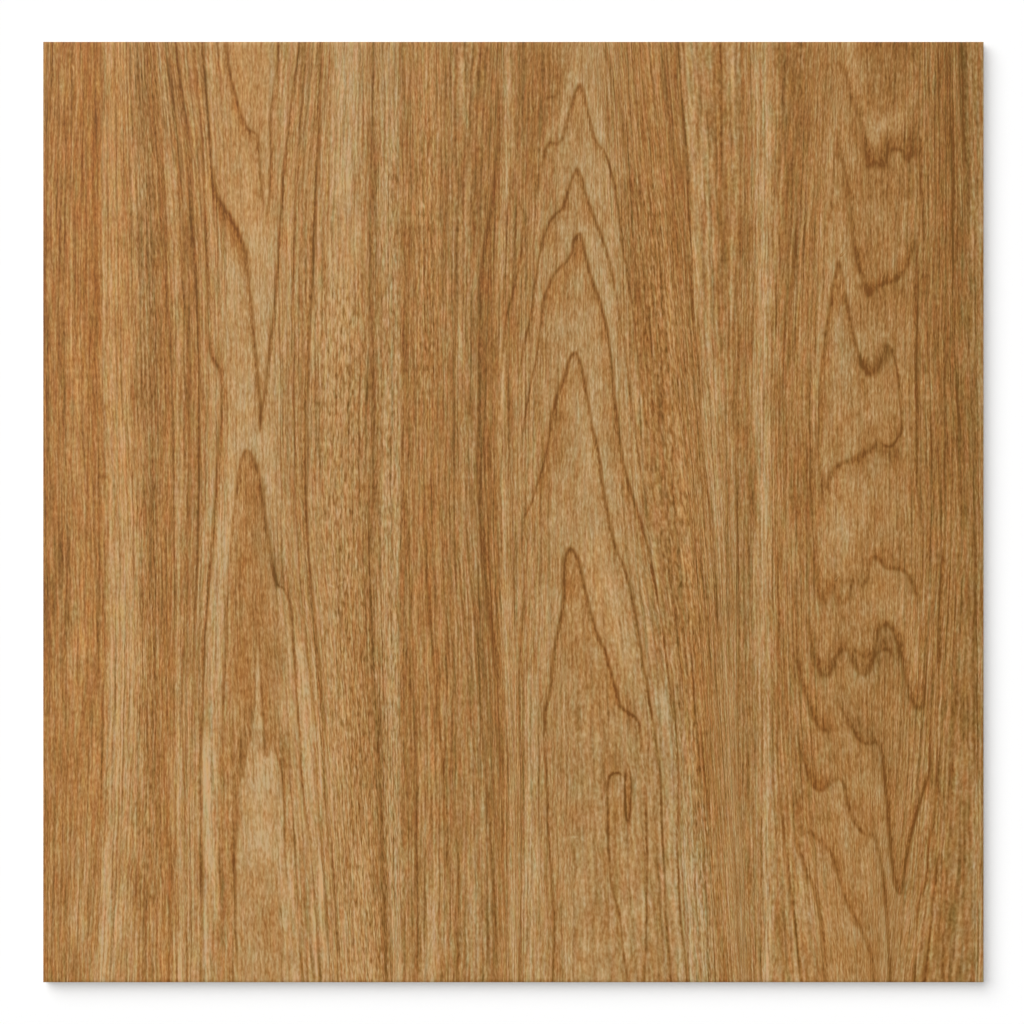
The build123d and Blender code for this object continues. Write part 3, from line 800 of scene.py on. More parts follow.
# Short straight streaks, pale and dark, which taper at both ends.  Those of one half-width and tone are
# listed together: the place across, the upper end and the lower end.
STREAKS = {
    (3, 0.24): [(788, 510, 580)],
    (3, 0.18): [(771, 718, 806), (523, 840, 930), (753, 342, 398), (502, 768, 850), (919, 636, 696),
        (663, 308, 356), (74, 222, 258)],
    (4, 0.18): [(925, 366, 418), (953, 920, 985), (917, 602, 642), (658, 934, 990), (283, 202, 235)],
    (5, 0.18): [(215, 578, 628), (455, 580, 646), (348, 900, 955), (504, 156, 214)],
    (3, 0.16): [(500, 700, 842), (754, 528, 650), (757, 762, 826), (935, 715, 778), (470, 145, 210),
        (478, 380, 440), (784, 84, 124), (700, 165, 222), (955, 52, 112), (950, 382, 440),
        (227, 550, 608), (426, 898, 986), (499, 300, 364), (959, 765, 860), (582, 782, 832),
        (702, 635, 678), (756, 624, 684), (772, 946, 985), (755, 246, 306), (740, 66, 104),
        (923, 442, 478), (208, 320, 394), (158, 318, 366), (447, 325, 366), (471, 358, 408),
        (178, 212, 252)],
    (4, 0.16): [(507, 900, 987), (917, 632, 688), (402, 72, 134), (502, 218, 290), (195, 702, 766),
        (426, 688, 792), (207, 532, 566), (58, 322, 366), (963, 926, 985), (667, 896, 985),
        (707, 148, 192), (753, 108, 142), (962, 244, 286)],
    (5, 0.16): [(203, 874, 992), (308, 522, 568), (670, 642, 696)],
    (6, 0.16): [(710, 910, 976), (667, 855, 926)],
    (3, 0.14): [(58, 215, 272), (456, 182, 254), (766, 40, 285), (321, 855, 905), (327, 918, 992),
        (170, 700, 858), (126, 868, 926), (425, 910, 980), (64, 135, 185), (78, 432, 492), (742, 45, 84),
        (538, 150, 190), (793, 285, 335), (785, 475, 530), (923, 160, 228), (139, 526, 566),
        (151, 522, 564), (185, 516, 560), (172, 782, 838), (323, 866, 910), (185, 852, 928),
        (770, 895, 965), (917, 918, 982), (298, 598, 632), (437, 780, 834), (303, 470, 526),
        (117, 470, 520), (291, 255, 362), (730, 108, 144), (960, 846, 900), (975, 878, 935),
        (647, 886, 946), (595, 845, 885), (546, 768, 808), (681, 710, 790), (664, 592, 632),
        (311, 525, 562), (172, 648, 688), (56, 798, 842), (88, 896, 966), (482, 748, 785),
        (767, 225, 265), (786, 166, 198), (685, 118, 162), (919, 312, 348), (543, 208, 245),
        (477, 428, 472)],
    (4, 0.14): [(757, 378, 456), (155, 585, 648), (275, 732, 774), (923, 582, 628), (485, 150, 195),
        (213, 376, 418), (282, 218, 286), (498, 425, 482), (768, 280, 325), (797, 180, 235),
        (622, 432, 492), (530, 340, 400), (50, 666, 708), (187, 665, 715), (199, 632, 705),
        (92, 715, 768), (497, 672, 725), (808, 512, 578), (628, 848, 892), (746, 678, 712),
        (745, 524, 576), (541, 517, 573), (55, 832, 876), (385, 672, 716), (470, 108, 152),
        (217, 215, 258), (353, 268, 302), (623, 96, 132), (943, 376, 412), (633, 735, 782),
        (799, 548, 588), (780, 803, 838), (248, 786, 814), (746, 228, 264), (923, 368, 405),
        (918, 73, 104), (550, 396, 428), (215, 106, 188), (247, 398, 434), (330, 315, 366),
        (402, 52, 88), (497, 58, 112), (333, 238, 278), (120, 378, 418)],
    (5, 0.14): [(173, 928, 1000), (99, 335, 405), (448, 211, 259), (758, 406, 470), (582, 86, 114),
        (850, 472, 512), (867, 138, 174)],
    (6, 0.14): [(205, 158, 225), (906, 366, 428)],
    (4, 0.13): [(233, 860, 993)],
    (3, 0.12): [(303, 380, 482), (423, 465, 514), (697, 40, 86), (808, 320, 374), (103, 708, 772),
        (355, 660, 732), (428, 802, 848), (417, 734, 802), (727, 570, 610), (665, 800, 900),
        (723, 884, 946), (768, 842, 912), (887, 910, 987), (513, 634, 732), (62, 425, 480),
        (117, 420, 500), (208, 295, 350), (402, 450, 498), (327, 352, 412), (755, 145, 228),
        (930, 40, 92), (947, 512, 572), (316, 632, 673), (323, 742, 782), (283, 382, 426),
        (651, 40, 112), (735, 266, 334), (523, 836, 950), (756, 730, 804), (772, 752, 798)],
    (4, 0.12): [(203, 74, 140), (956, 312, 366), (97, 490, 660), (203, 890, 993), (515, 563, 680),
        (653, 552, 598), (704, 790, 872), (628, 846, 884), (527, 612, 668), (140, 180, 225),
        (162, 432, 495), (448, 258, 350), (312, 308, 355), (636, 52, 110), (745, 245, 332),
        (641, 348, 422), (863, 334, 374), (820, 346, 398), (125, 625, 682), (487, 798, 872),
        (383, 558, 652), (545, 710, 800), (863, 592, 650), (898, 752, 796), (710, 795, 835),
        (845, 262, 306), (880, 895, 942), (333, 905, 970), (425, 682, 728), (98, 635, 672),
        (123, 642, 682)],
    (5, 0.12): [(152, 786, 830), (60, 40, 122), (377, 165, 285), (417, 295, 362), (672, 232, 308),
        (927, 782, 838), (705, 855, 942), (898, 584, 628), (250, 722, 762), (978, 306, 366)],
    (6, 0.12): [(913, 716, 810), (445, 896, 978)],
    (7, 0.12): [(930, 836, 936)],
    (8, 0.12): [(272, 102, 152)],
    (3, 0.1): [(499, 310, 470), (417, 345, 408), (388, 450, 500), (955, 84, 134), (903, 365, 410),
        (50, 848, 960), (488, 866, 970), (698, 580, 624), (737, 800, 886), (917, 900, 987),
        (771, 744, 796)],
    (4, 0.1): [(135, 42, 80), (608, 142, 180), (913, 52, 108), (923, 385, 448), (273, 556, 600),
        (450, 934, 986), (794, 508, 580), (310, 850, 886)],
    (6, 0.1): [(868, 850, 898)],
    (7, 0.1): [(372, 30, 150)],
    (3, 0.08): [(754, 190, 350), (930, 40, 128), (711, 195, 300), (721, 352, 420)],
    (4, 0.08): [(183, 305, 380)],
    (5, 0.08): [(370, 385, 508)],
    (6, 0.08): [(372, 170, 310)],
    (4, 0.06): [(443, 868, 932)],
    (15, -0.05): [(355, 750, 855)],
    (14, -0.06): [(258, 900, 1000)],
    (3, -0.08): [(945, 866, 926)],
    (5, -0.08): [(172, 218, 278)],
    (8, -0.08): [(278, 630, 698)],
    (12, -0.08): [(573, 630, 730)],
    (3, -0.1): [(402, 210, 260)],
    (4, -0.1): [(510, 390, 500), (655, 386, 448), (588, 786, 834), (972, 311, 363), (624, 362, 398)],
    (5, -0.1): [(131, 280, 340), (487, 425, 480), (948, 105, 195), (316, 502, 578), (858, 952, 1000)],
    (6, -0.1): [(825, 460, 500), (612, 746, 794)],
    (7, -0.1): [(342, 362, 418)],
    (8, -0.1): [(647, 284, 356), (620, 546, 608)],
    (10, -0.1): [(563, 400, 492)],
    (3, -0.12): [(168, 212, 280), (320, 326, 378), (515, 305, 365), (927, 218, 310), (140, 504, 544),
        (653, 662, 718), (775, 716, 757), (938, 922, 993), (930, 500, 630), (473, 195, 280),
        (444, 788, 832), (750, 162, 206), (680, 435, 475), (752, 722, 768), (732, 624, 682),
        (444, 795, 842), (387, 585, 628)],
    (4, -0.12): [(133, 385, 448), (397, 272, 355), (777, 65, 208), (778, 218, 350), (710, 76, 138),
        (732, 382, 448), (793, 146, 204), (828, 132, 160), (946, 42, 98), (220, 675, 752),
        (252, 592, 630), (135, 850, 912), (318, 220, 292), (687, 344, 384), (518, 192, 268),
        (65, 262, 309), (973, 96, 180)],
    (5, -0.12): [(187, 205, 275), (242, 160, 194), (221, 335, 378), (250, 113, 147), (256, 482, 562),
        (241, 714, 800), (828, 580, 624), (575, 808, 866), (562, 322, 362)],
    (6, -0.12): [(287, 722, 772), (855, 788, 836), (866, 908, 942)],
    (8, -0.12): [(150, 350, 416), (875, 282, 338), (608, 638, 678), (165, 158, 214), (330, 416, 484)],
    (3, -0.14): [(64, 218, 288), (458, 385, 440), (513, 392, 460), (522, 442, 490), (931, 400, 530),
        (358, 625, 685), (443, 656, 696), (482, 868, 938), (217, 916, 950), (742, 650, 718),
        (465, 120, 182), (945, 92, 140), (917, 450, 504), (295, 925, 980), (692, 892, 944),
        (550, 786, 838), (925, 928, 982), (551, 704, 782), (803, 524, 579), (453, 905, 948),
        (375, 525, 565), (505, 312, 356), (465, 152, 196), (971, 902, 985), (675, 748, 788),
        (765, 578, 618), (780, 852, 892), (297, 942, 980), (468, 478, 528), (296, 602, 648),
        (193, 634, 690), (132, 792, 836), (749, 306, 374), (739, 262, 302), (725, 358, 398),
        (929, 434, 486), (927, 54, 98), (137, 418, 468), (403, 432, 475)],
    (4, -0.14): [(43, 292, 348), (648, 326, 380), (898, 416, 460), (753, 455, 514), (601, 620, 657),
        (713, 578, 680), (725, 715, 785), (747, 750, 800), (779, 894, 990), (47, 208, 280),
        (740, 220, 264), (808, 220, 270), (647, 440, 484), (965, 34, 66), (103, 890, 940),
        (778, 828, 906), (677, 582, 630), (775, 795, 842), (685, 682, 748), (202, 734, 778),
        (483, 682, 728), (507, 40, 96), (413, 112, 158), (297, 162, 206), (125, 215, 258),
        (121, 75, 118), (735, 166, 202), (775, 214, 263), (748, 411, 463), (789, 843, 874),
        (455, 474, 526), (357, 524, 566), (110, 604, 656), (420, 942, 982), (967, 392, 428),
        (942, 435, 475), (570, 312, 342), (215, 73, 101), (390, 108, 148), (445, 385, 428),
        (110, 286, 346), (102, 200, 266), (107, 396, 424), (52, 328, 362)],
    (5, -0.14): [(119, 198, 272), (407, 218, 276), (268, 292, 352), (682, 122, 208), (958, 370, 482),
        (138, 868, 942), (67, 860, 912), (398, 262, 296), (252, 598, 636), (589, 62, 94),
        (551, 208, 242), (232, 158, 188), (147, 78, 122), (153, 428, 476), (257, 368, 402)],
    (6, -0.14): [(840, 440, 480), (856, 560, 607), (872, 813, 850), (470, 380, 425), (517, 290, 342),
        (152, 866, 918), (888, 525, 572)],
    (7, -0.14): [(872, 414, 460)],
    (3, -0.16): [(802, 60, 104), (486, 718, 796), (180, 868, 936), (432, 694, 742), (611, 814, 868),
        (322, 786, 850), (108, 746, 778), (218, 682, 712), (801, 166, 234), (692, 180, 240),
        (647, 66, 112), (461, 214, 266), (397, 328, 358)],
    (4, -0.16): [(888, 344, 380), (50, 788, 852), (293, 576, 628), (905, 850, 915), (612, 856, 925),
        (122, 122, 168), (103, 442, 508), (725, 98, 142), (772, 300, 338), (145, 580, 620),
        (485, 512, 572), (215, 912, 974), (72, 934, 986), (777, 736, 788), (482, 798, 835),
        (488, 357, 409), (430, 163, 198), (717, 36, 76), (958, 296, 368), (968, 470, 528),
        (577, 748, 792), (846, 605, 632), (447, 845, 892), (258, 524, 566), (307, 428, 478)],
    (5, -0.16): [(713, 652, 706), (435, 464, 536)],
    (6, -0.16): [(518, 482, 522)],
    (8, -0.16): [(772, 346, 440)],
    (3, -0.18): [(750, 218, 308), (190, 732, 790), (752, 648, 732), (731, 460, 520), (600, 876, 932),
        (802, 934, 985), (395, 574, 626), (169, 275, 315)],
    (4, -0.18): [(532, 502, 558), (108, 64, 122), (788, 162, 222), (752, 474, 558), (957, 220, 272),
        (53, 564, 632), (748, 776, 834), (910, 36, 66)],
    (5, -0.18): [(395, 150, 222), (417, 148, 206), (792, 32, 68), (53, 732, 788)],
    (6, -0.18): [(797, 790, 834)],
    (3, -0.2): [(733, 562, 628), (730, 292, 372)],
    (4, -0.2): [(43, 286, 330)],
    (5, -0.2): [(777, 34, 84), (410, 644, 704)],
    (6, -0.2): [(312, 455, 530)],
    (4, -0.22): [(802, 425, 492)],
}
for (half_width, streak_tone), streaks in STREAKS.items():
    for place_across, top, bottom in streaks:
        ends = [(place_across, top), (place_across, bottom)]
        near, distance, from_end, length = beside_line(print_places, ends, SOFT_REACH * half_width)
        streak_taper = np.clip(from_end / (TAPER_SHARE * length), 0, 1)
        tone[near] += streak_tone * np.exp(-(distance / half_width) ** 2) * streak_taper

# Open pores, which show as short dark dashes: how thick they stand, the half-width and the line.
PORE_STRETCHES = [
    (1.0, 26, [(340, 300), (345, 500), (352, 700), (360, 850), (370, 1000)]),
    (0.8, 12, [(390, 150), (390, 400), (392, 640), (396, 900)]),
    (1.0, 10, [(425, 120), (427, 250), (426, 400)]),
    (0.9, 26, [(650, 200), (665, 350), (680, 520), (690, 640)]),
    (0.9, 14, [(690, 700), (700, 860), (708, 1000)]),
    (0.6, 14, [(150, 60), (150, 300), (148, 600), (148, 900)]),
]
pores = np.full(len(tone), PORES_EVERYWHERE)
for thickness, half_width, points in PORE_STRETCHES:
    near, distance = beside_line(print_places, points, SOFT_REACH * half_width)[:2]
    pores[near] += thickness * np.exp(-(distance / half_width) ** 2)

# Where the saw cut the fibres at a slant, inside the arches and between the waves, they show as short grain:
# how much of it, the half-width and the line.
SHORT_STRETCHES = [
    (1.0, 27, [(250, 25), (250, 150), (252, 260), (250, 380), (252, 480), (255, 600), (255, 720),
        (258, 860), (262, 1000)]),
    (0.3, 22, [(342, 240), (345, 500), (352, 700), (360, 850), (370, 1000)]),
    (1.0, 27, [(580, 60), (580, 180), (580, 240)]),
    (1.0, 44, [(580, 250), (585, 400), (590, 520), (595, 640)]),
    (0.7, 60, [(595, 700), (600, 800), (605, 1000)]),
    (0.3, 24, [(650, 200), (665, 350), (680, 520)]),
    (1.0, 46, [(862, 25), (865, 200), (865, 400), (865, 600), (860, 760), (860, 1000)]),
]
short_grain = np.zeros(len(tone))
for share, half_width, points in SHORT_STRETCHES:
    near, distance = beside_line(print_places, points, SOFT_REACH * half_width)[:2]
    short_grain[near] += share * np.exp(-(distance / half_width) ** 4)
short_grain = np.clip(short_grain, 0, 1)

# The relief of the face, pressed in register with the print: a shallow groove along each growth line,
# none of it above the level of the bevel's upper edge.
GROOVE_DEPTH = 0.00008
GROOVE_HALF_WIDTH = 4.0
RELIEF_MARGIN = 0.004
on_face = skin_points[:, 2] > THICKNESS - FACE_ARRIS / 2
from_edge = face_half - np.abs(skin_points[:, :2]).max(1)
groove = sum(layer[:, 1] * np.exp(-(layer[:, 0] / GROOVE_HALF_WIDTH) ** 2) for layer in grain_layers)
lowered = GROOVE_DEPTH * np.clip(groove, 0, 1) * np.clip(from_edge / RELIEF_MARGIN, 0, 1)
skin_points[:, 2] -= np.where(on_face, lowered, 0)


# The glaze.  A thin satin glass over the whole face and its bevel, clear enough to show the inks in it.
# The print's colour runs from dark brown to pale straw with the tone, and to olive or orange with warmth.
NOISE_MIDDLE = 0.5
NOISE_GAIN = 4
NOISE_ROUGHNESS = 0.5


class Shade:
    """One value in a material's node tree: arithmetic on it adds Math nodes, make() adds any other node."""

    def __init__(self, tree, socket=None):
        self.tree = tree
        self.socket = socket

    def make(self, kind, settings, inputs, output=0):
        """A node of that kind with its settings and its inputs' values or links; gives one output."""
        node = self.tree.nodes.new(kind)
        for name, value in settings.items():
            if name == "stops":
                while len(node.color_ramp.elements) < len(value):
                    node.color_ramp.elements.new(1)
                for element, (place, colour) in zip(node.color_ramp.elements, value):
                    element.position = place
                    element.color = (*colour, 1)
            else:
                setattr(node, name, value)
        for name, value in inputs.items():
            if isinstance(value, Shade):
                self.tree.links.new(value.socket, node.inputs[name])
            else:
                node.inputs[name].default_value = value
        return None if output is None else Shade(self.tree, node.outputs[output])

    def beside(self, output):
        """Another output of the same node."""
        return Shade(self.tree, self.socket.node.outputs[output])

    def math(self, operation, *operands, clamp=False):
        settings = {"operation": operation, "use_clamp": clamp}
        return self.make("ShaderNodeMath", settings, dict(enumerate(operands)))

    def __add__(self, other):
        return self.math("ADD", self, other)

    __radd__ = __add__

    def __sub__(self, other):
        return self.math("SUBTRACT", self, other)

    def __rsub__(self, other):
        return self.math("SUBTRACT", other, self)

    def __mul__(self, other):
        return self.math("MULTIPLY", self, other)

    __rmul__ = __mul__

    def clamped(self):
        return self.math("ADD", self, 0, clamp=True)

    def exp(self):
        return self.math("EXPONENT", self)

    def size(self):
        return self.math("ABSOLUTE", self)

    def ramp(self, low, high):
        """0 up to low, 1 from high, and a smooth rise between them."""
        settings = {"interpolation_type": "SMOOTHSTEP"}
        return self.make("ShaderNodeMapRange", settings, {"Value": self, "From Min": low, "From Max": high})

    def noise(self, right, down, detail=1.0):
        """Flat noise about 0, from roughly -1 to 1, at that place in its own cells."""
        place = self.make("ShaderNodeCombineXYZ", {}, {"X": right, "Y": down})
        inputs = {"Vector": place, "Scale": 1.0, "Detail": detail, "Roughness": NOISE_ROUGHNESS}
        raw = self.make("ShaderNodeTexNoise", {"noise_dimensions": "2D"}, inputs)
        return (raw - NOISE_MIDDLE) * NOISE_GAIN


def linear(red, green, blue):
    """A colour written in screen levels from 0 to 255, as the light levels that the shaders take: a straight
    line near black, and a power of 2.4 above it."""
    level = np.array([red, green, blue]) / 255
    return np.where(level <= 0.04045, level / 12.92, ((level + 0.055) / 1.055) ** 2.4).tolist()


def new_material(name):
    """An empty material with its output and one surface shader, and a Shade to build its nodes from."""
    material = bpy.data.materials.new(name)
    material.use_nodes = True
    tree = material.node_tree
    tree.nodes.clear()
    output = tree.nodes.new("ShaderNodeOutputMaterial")
    shader = tree.nodes.new("ShaderNodeBsdfPrincipled")
    tree.links.new(shader.outputs[0], output.inputs["Surface"])
    return material, tree, shader, Shade(tree)


INK_COLOURS = [
    (0.0, linear(116, 76, 34)),
    (0.3, linear(147, 103, 57)),
    (0.5, linear(165, 121, 72)),
    (0.75, linear(184, 145, 96)),
    (1.0, linear(201, 167, 121)),
]
DARKEST_INK = 0.002
GLAZE_SHEEN = 0.02
GLAZE_SPECULAR = 0.2
GLAZE_ROUGHNESS = 0.50
FIBRE_ROUGHNESS = 0.03
PORE_ROUGHNESS = 0.15
FINE_HEIGHT = 0.4
MIDDLE_HEIGHT = 0.3
PORE_DEPTH = 1.5
BUMP_STRENGTH = 0.25
BUMP_DISTANCE = 0.00005

# Each kind of noise in the print: its cells to a pixel across the fibres, where it starts, so that no two
# kinds share their cells, and its cells to a pixel along the fibres.
WANDER_CELLS = (0.10, 20, 0.03)
GRAIN_CELLS = (0.62, 0, 0.19)
FLECK_CELLS = (0.50, 30, 0.085)
FINE_CELLS = (0.50, 60, 0.019)
MIDDLE_CELLS = (0.29, 80, 0.007)
BROAD_CELLS = (0.10, 120, 0.004)
VEIN_CELLS = (0.40, 140, 0.006)
PORE_CELLS = (0.45, 160, 0.11)
WARM_CELLS = (0.30, 200, 0.04)
GREEN_CELLS = (0.26, 240, 0.03)
BLOTCH_CELLS = (0.06, 280, 0.035)
VEIN_RISE = (0.35, 0.9)
PORE_RISE = (0.25, 0.75)

# How strong each is in the tone, and how much of it the short grain takes away or adds.
WANDER = 0.5
FINE_GRAIN = 0.15
FLECKS = 0.12
FINE_FIBRES = 0.13
MIDDLE_FIBRES = 0.10
BROAD_FIBRES = 0.05
VEIN_DARKNESS = 0.18
PORE_DARKNESS = 0.14
SHORT_BLOTCHES = 0.08
FLECKS_EVERYWHERE = 0.6
SHORT_FLECKS = 0.45
SHORT_GRAIN_LOSS = 0.1
SHORT_FIBRE_LOSS = 0.5
TONE_LIFT = 0.003

# The growth lines: how sharp and dark they are, how the noise frays them, and how the brown on one side and
# the pale on the other fall off from them.
LINE_SHARPNESS = 0.35
LINE_DARKNESS = 0.50
GRAIN_FRAY = 0.3
FIBRE_FRAY = 0.4
BROWN_DARKNESS = 0.26
BROWN_FALL = 0.14
PALE_LIFT = 0.14
SIDE_CHANGE = 0.33
BROWN_WARMTH = 1.3
PALE_COOLNESS = 0.5

# The hue: what warms or cools it, and the tints for one step of warmth and one of green.
PORE_COOLNESS = 0.5
VEIN_COOLNESS = 0.6
BLOTCH_COOLNESS = 0.3
WARM_FLECKS = 0.6
SHORT_WARM_LOSS = 0.3
SHORT_GREEN_LOSS = 0.5
WARM_TINT = (0.10, -0.02, -0.18)
GREEN_TINT = (-0.05, 0.03, -0.03)
NO_TINT = (1, 1, 1)

glaze, glaze_tree, glaze_shader, ink = new_material("printed_satin_glaze")
laid = ink.make("ShaderNodeAttribute", {"attribute_name": "print"}, {}, "Vector")
laid_tone = ink.make("ShaderNodeSeparateXYZ", {}, {"Vector": laid}, "X")
laid_warmth = laid_tone.beside("Y")
laid_pores = laid_tone.beside("Z")
fibre_place = ink.make("ShaderNodeAttribute", {"attribute_name": "fibres"}, {}, "Vector")
straight = ink.make("ShaderNodeSeparateXYZ", {}, {"Vector": fibre_place}, "X")
down = straight.beside("Y")
laid_short = straight.beside("Z")
long_share = 1 - laid_short * SHORT_FIBRE_LOSS


def fibre_noise(right, cells, detail=1.0):
    """Noise at that place across the fibres, with the cells of one of the kinds above."""
    across_cells, start, along_cells = cells
    return ink.noise(right * across_cells + start, down * along_cells, detail)


def tinted(base, amount, tint):
    """The base tint with so much of another tint added to it."""
    amounts = ink.make("ShaderNodeCombineXYZ", {}, {"X": amount, "Y": amount, "Z": amount})
    return ink.make("ShaderNodeVectorMath", {"operation": "MULTIPLY_ADD"}, {0: amounts, 1: tint, 2: base})


right = straight + fibre_noise(straight, WANDER_CELLS) * WANDER
grain = fibre_noise(right, GRAIN_CELLS) * (1 - laid_short * SHORT_GRAIN_LOSS)
fleck_share = FLECKS_EVERYWHERE + laid_pores + laid_short * SHORT_FLECKS
flecks = fibre_noise(right, FLECK_CELLS) * fleck_share
fine_fibres = fibre_noise(right, FINE_CELLS, detail=0.0) * long_share
middle_fibres = fibre_noise(right, MIDDLE_CELLS) * long_share
broad_fibres = fibre_noise(right, BROAD_CELLS) * long_share
veins = fibre_noise(right, VEIN_CELLS, detail=0.0).ramp(*VEIN_RISE) * long_share
pore_dashes = fibre_noise(right, PORE_CELLS, detail=0.0).ramp(*PORE_RISE) * laid_pores
blotches = fibre_noise(right, BLOTCH_CELLS) * laid_short
fray = grain * GRAIN_FRAY + middle_fibres * FIBRE_FRAY

printed = laid_tone
warm = laid_warmth
for index in range(len(grain_layers)):
    layer = ink.make("ShaderNodeAttribute", {"attribute_name": f"grain_{index}"}, {}, "Vector")
    offset = ink.make("ShaderNodeSeparateXYZ", {}, {"Vector": layer}, "X")
    darkness = offset.beside("Y")
    brown = offset.beside("Z")
    offset = offset + fray
    core = (offset * offset * -LINE_SHARPNESS).exp()
    fade = (offset.size() * -BROWN_FALL).exp() * brown
    inside = offset.math("MULTIPLY_ADD", offset, SIDE_CHANGE, 0.5, clamp=True)
    printed = printed - core * darkness * LINE_DARKNESS
    printed = printed - fade * (inside * (BROWN_DARKNESS + PALE_LIFT) - PALE_LIFT)
    warm = warm + fade * (inside * BROWN_WARMTH - PALE_COOLNESS)
printed = printed + grain * FINE_GRAIN + flecks * FLECKS + fine_fibres * FINE_FIBRES
printed = printed + middle_fibres * MIDDLE_FIBRES + broad_fibres * BROAD_FIBRES
printed = printed - veins * VEIN_DARKNESS - pore_dashes * PORE_DARKNESS
printed = printed + blotches * SHORT_BLOTCHES + TONE_LIFT
warm = warm - pore_dashes * PORE_COOLNESS - veins * VEIN_COOLNESS - blotches * BLOTCH_COOLNESS
warm = warm + fibre_noise(right, WARM_CELLS) * (WARM_FLECKS - laid_short * SHORT_WARM_LOSS)
green = fibre_noise(right, GREEN_CELLS) * (1 - laid_short * SHORT_GREEN_LOSS)

ink_stops = []
for stop, colour in INK_COLOURS:
    ink_stops.append((stop, [max(level - GLAZE_SHEEN, DARKEST_INK) for level in colour]))
ink_colour = ink.make("ShaderNodeValToRGB", {"stops": ink_stops}, {"Fac": printed})
hue_tint = tinted(tinted(NO_TINT, warm, WARM_TINT), green, GREEN_TINT)
glaze_colour = ink.make("ShaderNodeVectorMath", {"operation": "MULTIPLY"}, {0: ink_colour, 1: hue_tint})
glaze_roughness = GLAZE_ROUGHNESS + fine_fibres * FIBRE_ROUGHNESS + pore_dashes * PORE_ROUGHNESS
glaze_height = fine_fibres * FINE_HEIGHT + middle_fibres * MIDDLE_HEIGHT - pore_dashes * PORE_DEPTH
glaze_relief = {"Height": glaze_height, "Strength": BUMP_STRENGTH, "Distance": BUMP_DISTANCE}
glaze_bump = ink.make("ShaderNodeBump", {}, glaze_relief)
glaze_tree.links.new(glaze_colour.socket, glaze_shader.inputs["Base Color"])
glaze_tree.links.new(glaze_roughness.socket, glaze_shader.inputs["Roughness"])
glaze_tree.links.new(glaze_bump.socket, glaze_shader.inputs["Normal"])
glaze_shader.inputs["Specular IOR Level"].default_value = GLAZE_SPECULAR


# The porcelain body.  Where no glaze covers it, on the ground edges and the back, the fired clay is a dense
# warm grey-buff with fine dark specks; grinding leaves faint lines along the edges, and a dusting of white
# kiln wash stays on the ribs.
BODY_COLOUR = linear(196, 184, 166)
BODY_DARK = linear(160, 146, 127)
KILN_WASH = linear(222, 217, 207)
CLOUD_SCALE = 25.0
CLOUD_DETAIL = 4.0
SPECK_SCALE = 900.0
SPECK_DETAIL = 1.0
GRINDING_SCALE = 9000
RIB_FADE = (0.0001, 0.0004)
SPECK_RISE = (0.62, 0.75)
SPECK_SHARE = 0.5
CLOUD_SHARE = 0.6
GRINDING_SHARE = 0.3
WASH_SHARE = 0.35
WASH_CLOUDS = 0.4
BODY_ROUGHNESS = 0.75
GRINDING_POLISH = 0.2
GRINDING_HEIGHT = 0.5
BODY_BUMP = 0.3
BODY_SPECULAR = 0.3
body, body_tree, body_shader, clay = new_material("porcelain_body")
place = clay.make("ShaderNodeTexCoord", {}, {}, "Object")
height = clay.make("ShaderNodeSeparateXYZ", {}, {"Vector": place}, "Z")
cloudy = {"Vector": place, "Scale": CLOUD_SCALE, "Detail": CLOUD_DETAIL}
cloud = clay.make("ShaderNodeTexNoise", {}, cloudy)
speckled = {"Vector": place, "Scale": SPECK_SCALE, "Detail": SPECK_DETAIL}
speck = clay.make("ShaderNodeTexNoise", {}, speckled)
up_the_edge = {"W": height * GRINDING_SCALE, "Scale": 1.0}
grinding = clay.make("ShaderNodeTexNoise", {"noise_dimensions": "1D"}, up_the_edge)
on_rib = 1 - height.ramp(*RIB_FADE)
clay_shade = speck.ramp(*SPECK_RISE) * SPECK_SHARE + (cloud - NOISE_MIDDLE) * CLOUD_SHARE
clay_shade = (clay_shade + (grinding - NOISE_MIDDLE) * GRINDING_SHARE).clamped()
MIX_FACTOR, MIX_FIRST, MIX_SECOND, MIX_COLOUR = 0, 6, 7, 2


def mixed(shade, factor, first, second):
    """A colour between two others, by a factor from 0 to 1."""
    sockets = {MIX_FACTOR: factor, MIX_FIRST: first, MIX_SECOND: second}
    return shade.make("ShaderNodeMix", {"data_type": "RGBA"}, sockets, MIX_COLOUR)


clay_colour = mixed(clay, clay_shade, (*BODY_COLOUR, 1), (*BODY_DARK, 1))
washed_colour = mixed(clay, on_rib * (WASH_SHARE + cloud * WASH_CLOUDS), clay_colour, (*KILN_WASH, 1))
clay_roughness = BODY_ROUGHNESS - (grinding - NOISE_MIDDLE) * GRINDING_POLISH
clay_height = speck + grinding * GRINDING_HEIGHT
clay_relief = {"Height": clay_height, "Strength": BODY_BUMP, "Distance": BUMP_DISTANCE}
clay_bump = clay.make("ShaderNodeBump", {}, clay_relief)
body_tree.links.new(washed_colour.socket, body_shader.inputs["Base Color"])
body_tree.links.new(clay_roughness.socket, body_shader.inputs["Roughness"])
body_tree.links.new(clay_bump.socket, body_shader.inputs["Normal"])
body_shader.inputs["Specular IOR Level"].default_value = BODY_SPECULAR


